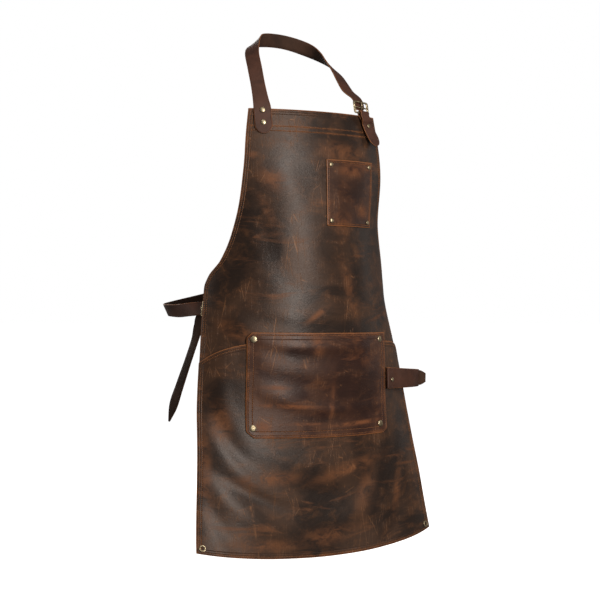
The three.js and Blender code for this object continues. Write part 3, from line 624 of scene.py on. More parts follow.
def seated(points, u, v):
    """Points of a fitting, set on the form at u, v with its axis out of the leather."""
    point, normal, wide = spot(u, v, float(relief(u, v)))
    x = unit(wide - normal * np.dot(wide, normal))
    return all_in_pose(pose_of(point, x, np.cross(normal, x), normal), points)


def sweep(path, x_axis, section, closed):
    """A bar along a path in one plane: section is (along the plane's normal, aside) pairs in millimetres."""
    path = np.asarray(path, float)
    run = directions(path, closed)
    normal = np.broadcast_to(np.asarray(x_axis, float), run.shape)
    aside = unit(np.cross(run, normal))
    points = [path[i] + normal[i] * a + aside[i] * b for i in range(len(path)) for a, b in section]
    faces = skin(len(path), len(section), flip=True, closed=closed)
    if not closed:
        faces += end_faces(len(path), len(section), flip=True)
    return np.array(points), faces


def joined(*shapes):
    """Several points and faces as one."""
    points, faces, start = [], [], 0
    for p, f in shapes:
        points.append(p)
        faces += [tuple(start + k for k in face) for face in f]
        start += len(p)
    return np.concatenate(points), faces


# Finishes


class Channel:
    """One value or colour in a finish. Arithmetic on it adds the finish's Math nodes."""

    def __init__(self, finish, socket):
        self.finish, self.socket = finish, socket

    def maths(self, operation, *others):
        inputs = dict(enumerate([self, *others]))
        return self.finish.node("ShaderNodeMath", {"operation": operation}, inputs)

    def __add__(self, other):
        return self.maths("ADD", other)

    __radd__ = __add__

    def __mul__(self, other):
        return self.maths("MULTIPLY", other)

    __rmul__ = __mul__

    def __sub__(self, other):
        return self.maths("SUBTRACT", other)

    def __rsub__(self, other):
        return self.finish.node("ShaderNodeMath", {"operation": "SUBTRACT"}, {0: other, 1: self})

    def __truediv__(self, other):
        return self.maths("DIVIDE", other)

    def __pow__(self, other):
        return self.maths("POWER", other)

    def __abs__(self):
        return self.maths("ABSOLUTE")

    def held(self, low=0.0, high=1.0):
        return self.maths("MAXIMUM", low).maths("MINIMUM", high)


LEATHER_GLOSS = 0.27
BRASS_GLOSS = 0.5
GLOSS_TINT = (1.0, 0.9, 0.84, 1)


class Finish:
    """A material in the making."""

    def __init__(self, name):
        self.material = bpy.data.materials.new(name)
        self.material.use_nodes = True
        self.tree = self.material.node_tree
        self.shader = next(n for n in self.tree.nodes if n.type == "BSDF_PRINCIPLED")

    def node(self, kind, settings=None, inputs=None, output=0):
        made = self.tree.nodes.new(kind)
        for key, value in (settings or {}).items():
            setattr(made, key, value)
        for key, value in (inputs or {}).items():
            if isinstance(value, Channel):
                self.tree.links.new(value.socket, made.inputs[key])
            else:
                made.inputs[key].default_value = value
        return Channel(self, made.outputs[output])

    def place(self):
        return self.node("ShaderNodeUVMap", {"uv_map": "UVMap"})

    def edge(self):
        """Distance from the cut edge, in millimetres."""
        return self.node("ShaderNodeAttribute", {"attribute_name": "edge"}, {}, "Fac") * PER_METRE

    def turned(self, where, degrees, stretch):
        return self.node(
            "ShaderNodeMapping",
            {},
            {"Vector": where, "Rotation": (0, 0, math.radians(degrees)), "Scale": (*stretch, 1)},
        )

    def noise(self, where, scale, detail=4.0, rough=0.55, bend=0.0):
        inputs = {"Vector": where, "Scale": scale, "Detail": detail, "Roughness": rough, "Distortion": bend}
        return self.node("ShaderNodeTexNoise", {}, inputs, "Fac")

    def cells(self, where, scale, feature="F1"):
        settings = {"feature": feature}
        return self.node("ShaderNodeTexVoronoi", settings, {"Vector": where, "Scale": scale}, "Distance")

    def step(self, value, low, high):
        """0 below low, 1 above high, eased between."""
        settings = {"interpolation_type": "SMOOTHSTEP"}
        inputs = {"Value": value, "From Min": low, "From Max": high, "To Min": 0.0, "To Max": 1.0}
        return self.node("ShaderNodeMapRange", settings, inputs)

    def mix(self, share, a, b):
        a, b = [(*colour, 1) if isinstance(colour, tuple) else colour for colour in (a, b)]
        return self.node("ShaderNodeMix", {"data_type": "RGBA"}, {"Factor": share, 6: a, 7: b}, 2)

    def done(self, base, rough, height=None, metal=0.0, sheen=0.0, gloss=LEATHER_GLOSS):
        """Feeds the shader: base colour, roughness and a height in millimetres."""
        for name, value in {"Base Color": base, "Roughness": rough, "Metallic": metal}.items():
            if isinstance(value, Channel):
                self.tree.links.new(value.socket, self.shader.inputs[name])
            else:
                self.shader.inputs[name].default_value = (*value, 1) if isinstance(value, tuple) else value
        self.shader.inputs["Specular IOR Level"].default_value = gloss
        self.shader.inputs["Specular Tint"].default_value = GLOSS_TINT
        if sheen:
            self.shader.inputs["Sheen Weight"].default_value = sheen
        if height is not None:
            bump = self.node("ShaderNodeBump", {}, {"Height": height, "Distance": MM, "Strength": 1.0})
            self.tree.links.new(bump.socket, self.shader.inputs["Normal"])
        return self.material


def groove(value, at, half):
    """1 along a stitch row that lies at a distance, falling to 0 at half its width."""
    return (1 - abs(value - at) / half).held()


def spots(finish, where, rows, ragged):
    """Where listed patches lie: across, down, half length, half width, turn, strength."""
    found = None
    for across, down, long, wide, turn, strength in rows:
        c, s = cos_sin(turn)
        scale = (PER_METRE / long, PER_METRE / wide, 1)
        x = -(across * c + down * s) / long
        y = (across * s - down * c) / wide
        near = finish.node(
            "ShaderNodeVectorRotate",
            {"rotation_type": "Z_AXIS"},
            {"Vector": where, "Angle": -math.radians(turn)},
        )
        near = finish.node(
            "ShaderNodeVectorMath",
            {"operation": "MULTIPLY_ADD"},
            {0: near, 1: scale, 2: (x, y, 0)},
        )
        far = finish.node("ShaderNodeVectorMath", {"operation": "LENGTH"}, {0: near}, "Value")
        patch = finish.step(far + (ragged - 0.5) * 1.5, 1.15, 0.2) * strength
        found = patch if found is None else found.maths("MAXIMUM", patch)
    return found


# Worn patches of the hide: across, down, half length, half width, turn, strength
HIDE_WORN = [
    (-105, 135, 42, 26, 25, 0.7),
    (45, 78, 75, 26, 5, 0.55),
    (-118, 190, 40, 12, 60, 0.5),
    (40, 205, 30, 55, 0, 0.45),
    (60, 345, 80, 20, 70, 0.5),
    (-20, 392, 40, 9, -35, 0.8),
    (-175, 425, 55, 20, 25, 0.6),
    (-205, 600, 30, 50, 0, 0.7),
    (-235, 700, 16, 130, 0, 0.6),
    (-110, 705, 90, 18, -4, 0.75),
    (60, 690, 110, 18, -14, 0.7),
    (20, 815, 90, 22, -6, 0.6),
    (-120, 830, 110, 16, 0, 0.55),
    (100, 735, 26, 60, 20, 0.5),
    (180, 745, 14, 70, 12, 0.5),
]
# Dark waxed patches of the hide, and painted shade: the patches on its right half, where across is above 0,
# darken that side.
HIDE_DARK = [
    (-120, 265, 60, 34, 70, 0.9),
    (-40, 110, 40, 22, 0, 0.7),
    (70, 330, 60, 40, 0, 0.7),
    (-90, 340, 70, 24, 20, 0.6),
    (60, 420, 150, 26, 0, 0.95),
    (-70, 402, 110, 20, 4, 0.6),
    (110, 250, 34, 90, 0, 0.6),
    (160, 690, 50, 70, 0, 0.75),
    (-160, 560, 30, 60, 0, 0.5),
    (-140, 745, 90, 12, 18, 0.8),
    (40, 745, 90, 26, 0, 0.6),
    (140, 800, 60, 26, -10, 0.7),
    (-210, 640, 26, 40, 0, 0.6),
]
POCKET_WORN = [
    (-70, 566, 80, 6, 2, 1.0),
    (80, 602, 85, 6, -3, 1.0),
    (-40, 600, 60, 4, 0, 0.7),
    (-20, 450, 16, 26, -12, 0.8),
    (-100, 530, 40, 7, 3, 0.6),
    (-125, 605, 26, 16, 0, 0.7),
    (18, 560, 8, 50, 0, 0.5),
    (95, 475, 34, 22, 30, 0.4),
]
# Dark patches of the front pocket; the tall ones on its right half are painted shade that darkens that side.
POCKET_DARK = [
    (95, 530, 50, 90, 0, 0.7),
    (-60, 470, 80, 14, 6, 0.8),
    (42, 520, 30, 85, 0, 0.6),
    (-30, 590, 90, 10, 4, 0.6),
    (-80, 500, 50, 16, 0, 0.4),
]
CHEST_WORN = [
    (60, 112, 44, 16, 0, 0.7),
    (40, 205, 30, 16, 0, 0.6),
    (95, 190, 20, 18, 0, 0.5),
]
CHEST_DARK = [
    (80, 150, 34, 26, 0, 0.6),
]


def worn_hide(name, worn, dark, rows_across, rows_down=(), redder=0.0):
    """Waxed pull-up leather: dark brown, worn to orange, scratched, with grooves along its stitch rows."""
    f = Finish(name)
    where = f.place()
    edge = f.edge()
    clouds = f.noise(where, 7.0, 5.0, 0.6, 0.9)
    mottle = f.noise(f.turned(where, 20, (1.0, 1.5)), 24.0, 7.0, 0.68, 0.5)
    fine = f.noise(where, 190.0, 4.0, 0.68)
    smear = f.noise(f.turned(where, -8, (0.7, 3.0)), 11.0, 6.0, 0.64, 0.9)
    worn_by_hand = spots(f, where, worn, mottle)
    dark_wax_and_shade = spots(f, where, dark, clouds)
    wax, brown = (0.0150 + redder, 0.0086, 0.0060), (0.041 + redder, 0.0200, 0.0108)
    base = f.mix(f.step(clouds, 0.38, 0.62), wax, brown)
    base = f.mix(f.step(mottle, 0.46, 0.70) * 0.6, base, (0.082 + redder, 0.034, 0.0140))
    # Dark patches from the table: dark wax, and painted shade where they darken the right half of the piece.
    base = f.mix(dark_wax_and_shade * 0.85, base, (0.0115 + 0.5 * redder, 0.0074, 0.0058))
    rubbed = (f.step(smear, 0.55, 0.72) * 0.5).maths("MAXIMUM", worn_by_hand * f.step(mottle, 0.34, 0.6))
    base = f.mix(rubbed * (0.3 + 0.8 * fine).held(), base, (0.190 + redder, 0.066, 0.021))
    lines = 1 - f.step(f.cells(f.turned(where, 57, (6.5, 0.75)), 9.0, "DISTANCE_TO_EDGE"), 0.0, 0.012)
    cross = 1 - f.step(f.cells(f.turned(where, -38, (7.5, 0.9)), 8.0, "DISTANCE_TO_EDGE"), 0.0, 0.010)
    scratch = lines.maths("MAXIMUM", cross) * f.step(mottle * clouds, 0.22, 0.34)
    base = f.mix(scratch * 0.5, base, (0.24, 0.105, 0.042))
    rim = (1 - edge / 12).held() ** 2 * f.step(mottle + fine * 0.3, 0.52, 0.86)
    base = f.mix(rim * 0.9, base, (0.170 + redder, 0.061, 0.021))
    base = f.mix((1 - edge / 1.5).held(), base, (0.25, 0.094, 0.031))
    down = f.node("ShaderNodeSeparateXYZ", {}, {"Vector": where}, 1) * PER_METRE
    grooves = groove(edge, rows_across[0], 1.1)
    for value, at in [(edge, at) for at in rows_across[1:]] + [(down, at) for at in rows_down]:
        grooves = grooves.maths("MAXIMUM", groove(value, at, 1.1))
    base = f.mix(grooves * 0.4, base, (0.020, 0.011, 0.008))
    for at in rows_down:
        base = f.mix(groove(down, at, 3.2) * f.step(mottle, 0.34, 0.62) * 0.7, base, (0.135, 0.050, 0.018))
    rough = 0.33 + 0.22 * rubbed + 0.10 * fine + 0.08 * f.step(clouds, 0.35, 0.7) - 0.05 * dark_wax_and_shade
    pores = f.cells(where, 900.0)
    creases = abs(f.noise(f.turned(where, 15, (1.0, 1.5)), 75.0, 5.0, 0.6, 0.5) - 0.5)
    height = pores * 0.05 + fine * 0.09 + creases * 0.45 + mottle * 0.4 - scratch * 0.12 - grooves * 0.5
    return f.done(base, rough, height)


def suede(name):
    f = Finish(name)
    where = f.place()
    nap = f.noise(where, 420.0, 6.0, 0.75)
    broad = f.noise(where, 16.0, 5.0, 0.6, 0.4)
    base = f.mix(f.step(broad, 0.3, 0.7), (0.095, 0.050, 0.029), (0.160, 0.088, 0.052))
    base = f.mix(nap * 0.4, base, (0.21, 0.125, 0.078))
    return f.done(base, 0.93, nap * 0.35 + broad * 0.4, sheen=0.25)


def cut_edge(name):
    f = Finish(name)
    where = f.place()
    fibre = f.noise(where, 500.0, 5.0, 0.7)
    broad = f.noise(where, 60.0, 4.0, 0.6)
    base = f.mix(f.step(broad, 0.35, 0.7), (0.140, 0.052, 0.019), (0.27, 0.102, 0.034))
    base = f.mix(fibre * 0.3, base, (0.10, 0.042, 0.02))
    return f.done(base, 0.62, fibre * 0.2)


def shade(colour, light):
    return tuple(part * light for part in colour)


def strap_hide(name, light=1.0):
    f = Finish(name)
    where = f.place()
    edge = f.edge()
    broad = f.noise(where, 22.0, 5.0, 0.6, 0.5)
    fine = f.noise(where, 260.0, 4.0, 0.65)
    dark, warm = shade((0.036, 0.0142, 0.0088), light), shade((0.072, 0.0270, 0.0155), light)
    base = f.mix(f.step(broad, 0.3, 0.7), dark, warm)
    rub = (1 - edge / 3.2).held() ** 2 * f.step(broad + 0.4 * fine, 0.5, 0.85)
    base = f.mix(rub * 0.7, base, (0.17, 0.062, 0.026))
    crease = groove(edge, 2.0, 0.8)
    base = f.mix(crease * 0.35, base, (0.03, 0.014, 0.010))
    pores = f.cells(where, 1100.0)
    return f.done(base, 0.43 + 0.18 * fine, pores * 0.04 + fine * 0.10 + broad * 0.15 - crease * 0.2)


def strap_back(name):
    f = Finish(name)
    where = f.place()
    nap = f.noise(where, 380.0, 5.0, 0.7)
    broad = f.noise(where, 14.0, 4.0, 0.6)
    base = f.mix(f.step(broad, 0.3, 0.7), (0.020, 0.0090, 0.0052), (0.046, 0.0205, 0.0115))
    return f.done(base, 0.8, nap * 0.25)


def thread(name):
    f = Finish(name)
    where = f.place()
    ply = f.noise(where, 900.0, 3.0, 0.6)
    base = f.mix(ply, (0.170, 0.062, 0.021), (0.34, 0.135, 0.047))
    return f.done(base, 0.7, ply * 0.1)


def old_brass(name, shine=0.30, light=1.0):
    f = Finish(name)
    where = f.node("ShaderNodeTexCoord", {}, {}, "Object")
    broad = f.noise(where, 160.0, 5.0, 0.65, 0.4)
    fine = f.noise(where, 1400.0, 4.0, 0.6)
    base = f.mix(f.step(broad, 0.4, 0.66), shade((0.42, 0.35, 0.225), light), (0.17, 0.13, 0.075))
    rough = shine + 0.22 * f.step(broad, 0.4, 0.7) + 0.10 * fine
    return f.done(base, rough, fine * 0.03 + broad * 0.08, metal=1.0, gloss=BRASS_GLOSS)


edge_finish = cut_edge("cut_leather_edge")
suede_finish = suede("suede_back")
bib_finish = worn_hide("waxed_hide", HIDE_WORN, HIDE_DARK, SIDE_ROWS, TOP_ROWS)
lap_finish = worn_hide("waxed_lap_hide", HIDE_WORN, HIDE_DARK, SIDE_ROWS)
pocket_finish = worn_hide("waxed_pocket_hide", POCKET_WORN, POCKET_DARK, FRONT_POCKET["rows"], redder=0.008)
chest_finish = worn_hide("waxed_chest_hide", CHEST_WORN, CHEST_DARK, CHEST_POCKET["rows"], redder=0.006)
strap_finish = strap_hide("strap_leather")
loop_finish = strap_hide("loop_leather", 0.82)
back_finish = strap_back("strap_flesh_side")
thread_finish = thread("waxed_thread")
brass = old_brass("antique_brass")
pale_brass = old_brass("pale_brass", 0.24, 1.35)


# The hide and what is laid on it


def spaced(count):
    return np.linspace(0, 1, count)


def hide_grid(columns, rows, top=None):
    """Places over the hide from a top edge down, with the shares across and down, and that edge."""
    a, b = np.meshgrid(spaced(columns), spaced(rows))
    side = 2 * a - 1
    start = np.zeros_like(side) if top is None else top(side)
    v = start + (APRON_LENGTH - start) * b
    return side * half_width(v), v, side, b, start


def hide_piece(name, node, u, v, out, thick, edge, finish):
    piece = leather(name, u, v, out, thick, edge, [finish, edge_finish, suede_finish])
    return stand_in(piece, node)


def apron_hide():
    u, v, *_ = hide_grid(*HIDE_GRID)
    edge = np.minimum(half_width(v) - np.abs(u), np.minimum(v, APRON_LENGTH - v))
    return hide_piece("hide", "apron_body", u, v, relief(u, v), HIDE, edge, bib_finish)


def lap_top(side):
    sweep_by = np.where(side < 0, LAP_SWEEP["right"], LAP_SWEEP["left"])
    return LAP_TOP + LAP_ARCH * np.abs(side) ** sweep_by


def lap_mouth(side):
    """How far the lap panel's top opens into a hand pocket at each side, as a share."""
    return np.maximum(1 - ((np.abs(side) - LAP_MOUTH["middle"]) / LAP_MOUTH["half"]) ** 2, 0)


def lap_panel():
    u, v, side, b, top = hide_grid(*LAP_GRID, lap_top)
    mouth = np.maximum(1 - b / LAP_MOUTH["deep"], 0) ** 2 * lap_mouth(side)
    edge = np.minimum(half_width(v) - np.abs(u), np.minimum((v - top) * 0.9, APRON_LENGTH - v))
    out = LAP_OUT + LAP_BULGE * mouth + relief(u, v)
    return hide_piece("lap", "lap_panel", u, v, out, HIDE, edge, lap_finish)


def pocket_base(pocket):
    """How far out of the hide a pocket is sewn on."""
    return LAP_OUT + INSIDE_FIT if pocket is FRONT_POCKET else FIT


def pocket_out(pocket, u, v):
    """How far a pocket's outer face stands out of the hide."""
    a = np.clip((u - pocket["left"]) / pocket["width"], 0, 1)
    b = np.clip((v - pocket["top"]) / pocket["height"], 0, 1)
    in_side, in_low = np.minimum(a, 1 - a) * pocket["width"], (1 - b) * pocket["height"]
    rim = np.clip(np.minimum(in_side, in_low) / POCKET_RIM, 0, 1)
    mouth = POCKET_BULGE * (1 - b) ** 2 * (4 * a * (1 - a)) ** 1.5
    soft = folds(POCKET_FOLDS, u, v) if pocket is FRONT_POCKET else 0.5 * rim
    return pocket_base(pocket) + POCKET_HIDE + mouth + relief(u, v) + soft * rim**1.5


def pocket(name, node, p, finish):
    columns, rows = p["grid"]
    a, b = np.meshgrid(spaced(columns), spaced(rows))
    from_top, from_low = b * p["height"], (1 - b) * p["height"]
    in_left = np.maximum(np.maximum(p["cut_top"] - from_top, p["cut_left"] - from_low / 0.8), 0)
    in_right = np.maximum(p["cut_right"] - from_low / 0.8, 0)
    left, right = p["left"] + in_left, p["left"] + p["width"] - in_right
    u, v = left + (right - left) * a, p["top"] + from_top
    edge = np.minimum(np.minimum(u - left, right - u), np.minimum(from_top, from_low))
    return hide_piece(name, node, u, v, pocket_out(p, u, v), POCKET_HIDE, edge, finish)


# Seams


# A stitch's rings: place along it, thickness and lift, as shares of its length and of the thread
STITCH_RINGS = [
    (-0.5, 0.35, -0.5),
    (-0.32, 0.9, 0.05),
    (0.0, 1.0, 0.28),
    (0.32, 0.9, 0.05),
    (0.5, 0.35, -0.5),
]
THREAD_SIDES = 6


def stitch(middle, way, up):
    """One thread, sunk into the leather at its ends."""
    aside = np.cross(up, way)
    points = []
    for s, fat, lift in STITCH_RINGS:
        for c in range(THREAD_SIDES):
            t = 2 * math.pi * c / THREAD_SIDES
            radius = THREAD / 2 * fat
            raised = up * (lift * THREAD + radius * math.sin(t))
            points.append(middle + way * s * STITCH + raised + aside * radius * math.cos(t))
    rings = len(STITCH_RINGS)
    return np.array(points), skin(rings, THREAD_SIDES) + end_faces(rings, THREAD_SIDES)


def seam(points, normals):
    """Even stitches along a line of points."""
    gap = np.linalg.norm(np.diff(points, axis=0), axis=1)
    run = np.concatenate([[0], np.cumsum(gap)])
    count = max(int(run[-1] // STITCH_PITCH), 1)
    shapes = []
    for k in range(count):
        at = (k + 0.5) * run[-1] / count
        i = min(int(np.searchsorted(run, at, side="right")) - 1, len(points) - 2)
        f = (at - run[i]) / max(gap[i], 1e-6)
        way = unit(points[i + 1] - points[i])
        up = unit(normals[i] - way * np.dot(normals[i], way))
        shapes.append(stitch(points[i] * (1 - f) + points[i + 1] * f, way, up))
    return joined(*shapes)


def seam_on(u, v, out):
    """A seam along u, v that lies out of the hide by so much."""
    return seam(place(u, v, out), spot(u, v)[1])


def seam_behind(u, v):
    """The same seam where it comes through the hide's flesh side."""
    return seam(place(u, v, relief(u, v) - HIDE), -spot(u, v)[1])


def stitching(name, seams):
    """Several seams as one piece of thread."""
    points, faces = joined(*seams)
    return make(name, points, faces, [thread_finish], uv=points[:, :2], edge=np.full(len(points), 5.0))


def side_seams(v_from, v_to, out):
    v = np.arange(v_from, v_to, STEP_DOWN)
    lines = [side * (half_width(v) - inset) for side in (-1, 1) for inset in SIDE_ROWS]
    return [seam_on(u, v, out(u, v)) for u in lines]


def level_line(u_from, u_to, v):
    """Places across the hide at one height."""
    u = np.arange(u_from, u_to, STEP_ACROSS)
    return u, np.full(len(u), v)


def top_lines():
    return [level_line(2 - BIB_HALF, BIB_HALF - 1, drop) for drop in TOP_ROWS]


def hem_line():
    reach = float(half_width(APRON_LENGTH)) - 6
    return level_line(-reach, reach, APRON_LENGTH - HEM_ROW)


def hide_stitching():
    made = side_seams(4, LAP_TOP - 3, relief)
    made += [seam_on(u, v, relief(u, v)) for u, v in top_lines()]
    return stitching("hide_stitches", made)


def flesh_side_stitching():
    """What shows of the seams on the back of the hide."""
    down = np.arange(4.0, APRON_LENGTH - 6, STEP_DOWN)
    lines = [(side * (half_width(down) - inset), down) for inset in SIDE_ROWS for side in (-1, 1)]
    lines += [*top_lines(), hem_line()]
    for p in (FRONT_POCKET, CHEST_POCKET):
        for inset in p["rows"]:
            left, right = p["left"] + inset, p["left"] + p["width"] - inset
            low = p["top"] + p["height"] - inset
            down = np.arange(p["top"] + 6, low, STEP_ACROSS)
            lines += [(np.full(len(down), at), down) for at in (left, right)]
            lines.append(level_line(left, right, low))
    return stitching("flesh_side_stitches", [seam_behind(u, v) for u, v in lines])


def lap_face(u, v):
    return LAP_OUT + relief(u, v)


def lap_stitching():
    side = np.linspace(-0.975, 0.975, 90)
    v = lap_top(side) + LAP_ROW
    u = side * half_width(v)
    made = [seam_on(u, v, LAP_OUT + LAP_BULGE * lap_mouth(side) * 0.85 + relief(u, v))]
    made += side_seams(LAP_TOP + LAP_ARCH + 8, APRON_LENGTH - 4, lap_face)
    u, v = hem_line()
    made.append(seam_on(u, v, lap_face(u, v)))
    return stitching("lap_stitches", made)


def pocket_stitching(name, p):
    left, top = p["left"], p["top"]
    right, low = left + p["width"], top + p["height"]
    lines = []
    for inset in p["rows"]:
        down = np.linspace(top + (16 if p["cut_top"] else 3), low - inset - p["cut_left"] * 0.75, 26)
        start, stop = left + inset + p["cut_left"] * 0.5, right - inset - p["cut_right"] * 0.5
        along = np.linspace(start, stop, 34)
        lines += [(np.full(len(down), at), down) for at in (left + inset, right - inset)]
        lines.append((along, np.full(len(along), low - inset)))
        if inset == p["rows"][0]:
            lines.append((along, np.full(len(along), top + inset)))
    return stitching(name, [seam_on(u, v, pocket_out(p, u, v)) for u, v in lines])


# Buckle poses and straps


def tab_u(v):
    """The slanted middle line of the neck's buckle tab."""
    return BIB_HALF - TAB_IN + v * math.tan(math.radians(TAB_SLANT))


def rotated(vector, axis, degrees):
    return np.array(Matrix.Rotation(math.radians(degrees), 3, Vector(axis)) @ Vector(vector))


def neck_buckle():
    v = NECK_FRAME_DROP
    point, _, wide = spot(tab_u(v) + NECK_FRAME_SHIFT, v, NECK_FRAME_OFF)
    level = unit(np.array([wide[0], wide[1], 0.0]))
    z = rotated(np.array([level[1], -level[0], 0.0]), level, -NECK_FRAME_LEAN)
    x = rotated(level, z, -NECK_FRAME_TURN)
    return pose_of(point, x, np.cross(z, x), z)


def waist_buckle():
    point, normal, wide = spot(WAIST_U, BELT_DROP, BELT_INSIDE - WRAP_OFF)
    return pose_of(point, np.cross(normal, wide), -wide, normal)


neck_pose = neck_buckle()
waist_pose = waist_buckle()


def wrap_bar(pose, x, bar_y, radius, way, width):
    """A strap's turn round a bar of a buckle, on the side of the frame's y where way is 1."""
    rows = []
    for degrees in (-35, 10, 55, 90, 125, 160, 188):
        c, s = cos_sin(degrees)
        s *= way
        look = pose["z"] * c + pose["y"] * s
        rows.append(station(in_pose(pose, x, bar_y + radius * s, radius * c), look, width, pose["x"]))
    return rows


def shown_strap(name, node, rows, finish=strap_finish):
    stand_in(strap(name, rows, [finish, edge_finish, back_finish]), node)


def round_end(width, distance):
    """The width of a strap this far from the tip of its round end."""
    share = min(max(distance / (width / 2), 0), 1)
    return width * math.sqrt(max(1 - (1 - share) ** 2, 0.02))


# Shares of a round end's radius, from its tip
END_SHARES = [1 - math.cos(math.radians(a)) for a in (8, 20, 33, 46, 60, 75, 90)]


def neck_strap():
    off = FIT + STRAP_HIDE / 2
    lap = [s * STRAP_END / 2 for s in END_SHARES] + [STRAP_LAP * 0.55, STRAP_LAP * 0.75, STRAP_LAP]
    rows = [on_form(STRAP_IN - BIB_HALF, STRAP_LAP - run, off, round_end(STRAP_END, run)) for run in lap]
    for i, (side, back, rise, facing, lean) in enumerate(NECK_ROUTE):
        point = (side * NECK_WIDTH / 2, back * NECK_BACK, rise * NECK_RISE)
        rows.append(station(point, look_at(facing, lean), STRAP if i else (STRAP + STRAP_END) / 2))
    for i, y in enumerate((BAR_AT, 0, CENTRE_BAR - 2 * BAR_OFF)):
        point = in_pose(neck_pose, NECK_FRAME_SHIFT / 2, y, -BAR_OFF - PLAY)
        rows.append(station(point, neck_pose["z"], STRAP if i < 2 else STRAP * 0.8))
    shown_strap("neck_band", "neck_strap", rows)


def neck_tab():
    under = FIT + PLAY + STRAP_HIDE / 2
    over = under + FIT + STRAP_HIDE
    rows = []
    tip = [s * TAB / 2 / TAB_LAP for s in END_SHARES]
    pressed, climbing = 0.64, 0.73
    for share in [*tip, 0.37, 0.5, pressed, climbing, 0.82]:
        v = TAB_LAP * (1 - share)
        free = max(1 - share / pressed, 0)
        climb = 5 * max(share - climbing, 0) * TAB_LIFT
        row = on_form(tab_u(v), v, over + TAB_LIFT * free**1.6 + climb, round_end(TAB, TAB_LAP * share))
        side = spot(tab_u(v), v)[2] * min(max(2.2 * (share - 0.4), 0), 1)
        rows.append([*row[:7], *side])
    rows += wrap_bar(neck_pose, TAB_ASIDE, -BAR_AT, WRAP_OFF + PLAY, 1, TAB_NECK)
    for share, out in ((0.12, under + 1), (0.25, under + 0.3), (TAB_RIVET_AT, under), (0.5, under)):
        rows.append(turned(on_form(tab_u(TAB_LAP * share), TAB_LAP * share, out, TAB_NECK)))
    shown_strap("buckle_tab", "neck_buckle_tab", rows)


def waist_tab():
    inner = BELT_INSIDE - FIT - STRAP_HIDE
    heel = WAIST_U + BAR_AT
    rows = [on_form(heel + share * BELT_TAB, BELT_DROP, BELT_INSIDE, BELT) for share in (1, 0.7, 0.42, 0.19)]
    rows += wrap_bar(waist_pose, 0, -BAR_AT, WRAP_OFF, 1, BELT)
    leave = BELT_INSIDE - 1.7 * WRAP_OFF
    for i, share in enumerate((0.29, 0.48, 0.7, 1)):
        out = leave + (inner - leave) * min((i + 1) / 3, 1)
        rows.append(turned(on_form(heel + share * BELT_TAB, BELT_DROP, out, BELT)))
    shown_strap("belt_tab", "waist_buckle_tab", rows)


# Shares of the belt's width at its tip
BELT_TIP = (0.12, 0.93)


def waist_belt():
    loose = BAR_OFF + BELT_SLACK
    rows = []
    for i, (side, back, fall, facing) in enumerate(TAIL_ROUTE):
        point = waist_pose["point"] + np.array([side, back, -fall]) * BELT_TAIL
        width = BELT_TIP[i] * BELT if i < len(BELT_TIP) else BELT
        rows.append(station(point, look_at(facing), width))
    bend = BELT * 0.75
    for degrees in (75, 50, 30, 15):
        c, s = cos_sin(degrees)
        deep = -loose - (loose + STRAP_HIDE) * min(1.6 * s, 1.15)
        side = waist_pose["x"] * c + waist_pose["y"] * s
        point = in_pose(waist_pose, -bend * (1 - c), bend * s, deep)
        rows.append(station(point, -waist_pose["z"], BELT, side))
    rows += wrap_bar(waist_pose, 0, 0, loose, -1, BELT)[::-1]
    under, beside = -BAR_OFF - PLAY, 0.6 * FRAME_ROD
    for y, z in ((0.42 * BAR_AT, 0.6), (BAR_AT - beside, under), (BAR_AT + beside, under)):
        rows.append(station(in_pose(waist_pose, 0, y, z), waist_pose["z"], BELT))
    for side, back, climb, facing, lean in BELT_ROUTE:
        point = (side * WAIST_HALF, back * WAIST_BACK, climb * BELT_RISE - BELT_DROP)
        rows.append(station(point, look_at(facing, lean), BELT))
    level = BELT_DROP - BELT_RISE * 0.84
    side = float(half_width(level))
    rows += [on_form(side - share * BELT_IN, level, BELT_INSIDE, BELT) for share in (-0.15, 0.4, 1)]
    shown_strap("belt", "waist_belt", rows)


def tool_loop():
    inner = LAP_OUT + INSIDE_FIT + STRAP_HIDE / 2
    outer = inner + LOOP_FOLD + STRAP_HIDE

    def runs(table, base):
        made = []
        for along, off, turn, wide in table:
            u, v = LOOP_AT + along * LOOP_REACH, LOOP_DROP + LOOP_SAG * along
            upright = min(max(2 * off, 0), 1)
            look = unit(spot(u, v)[1] * (1 - upright) + outward(u, v) * upright)
            width = LOOP_TIP + (LOOP - LOOP_TIP) * wide
            lift = float(relief(u, v)) * (1 - upright)
            made.append(station(place(u, v, base + off * LOOP_GAP + lift), turned_up(look, turn), width))
        return made

    _, normal, wide = spot(LOOP_AT, LOOP_DROP)
    down = np.cross(normal, wide)
    lift = float(relief(LOOP_AT, LOOP_DROP))
    reach = (outer - inner) / 2
    fold = []
    for degrees in (0, 45, 90, 135, 180):
        c, s = cos_sin(degrees)
        point = place(LOOP_AT, LOOP_DROP, (inner + outer) / 2 + reach * c + lift) - wide * reach * s
        fold.append(station(point, normal * c - wide * s, LOOP, down))
    rows = [*runs(LOOP_FRONT, outer), *fold, *[turned(r) for r in runs(LOOP_BACK, inner)]]
    shown_strap("loop", "tool_loop", rows, loop_finish)


# Metal


def fitting(name, node, points, faces, finish=brass):
    stand_in(make(name, points, faces, [finish]), node)


# A turned piece closes this near to its axis
AXIS = 0.01
CAP_RIM = 0.35


def rivet(name, u, v, head, under):
    """A rivet with a domed cap on what is under it, and a flat head inside."""
    top, shaft, wide = under + PLAY, RIVET_SHAFT / 2, head * 0.38
    profile = [(AXIS, INSIDE - 1), (head * 0.32, INSIDE - 1), (wide, INSIDE - 0.7), (wide, INSIDE)]
    profile += [(shaft, INSIDE), (shaft, top), (head / 2 - 0.4, top), (head / 2, top + 0.1)]
    for degrees in range(0, 90, 10):
        c, s = cos_sin(degrees)
        profile.append((head / 2 * c, top + CAP_RIM + (RIVET_DOME - CAP_RIM) * s))
    points, faces = lathe([*profile, (AXIS, top + RIVET_DOME)])
    fitting("cap_" + name, name, seated(points, u, v), faces)


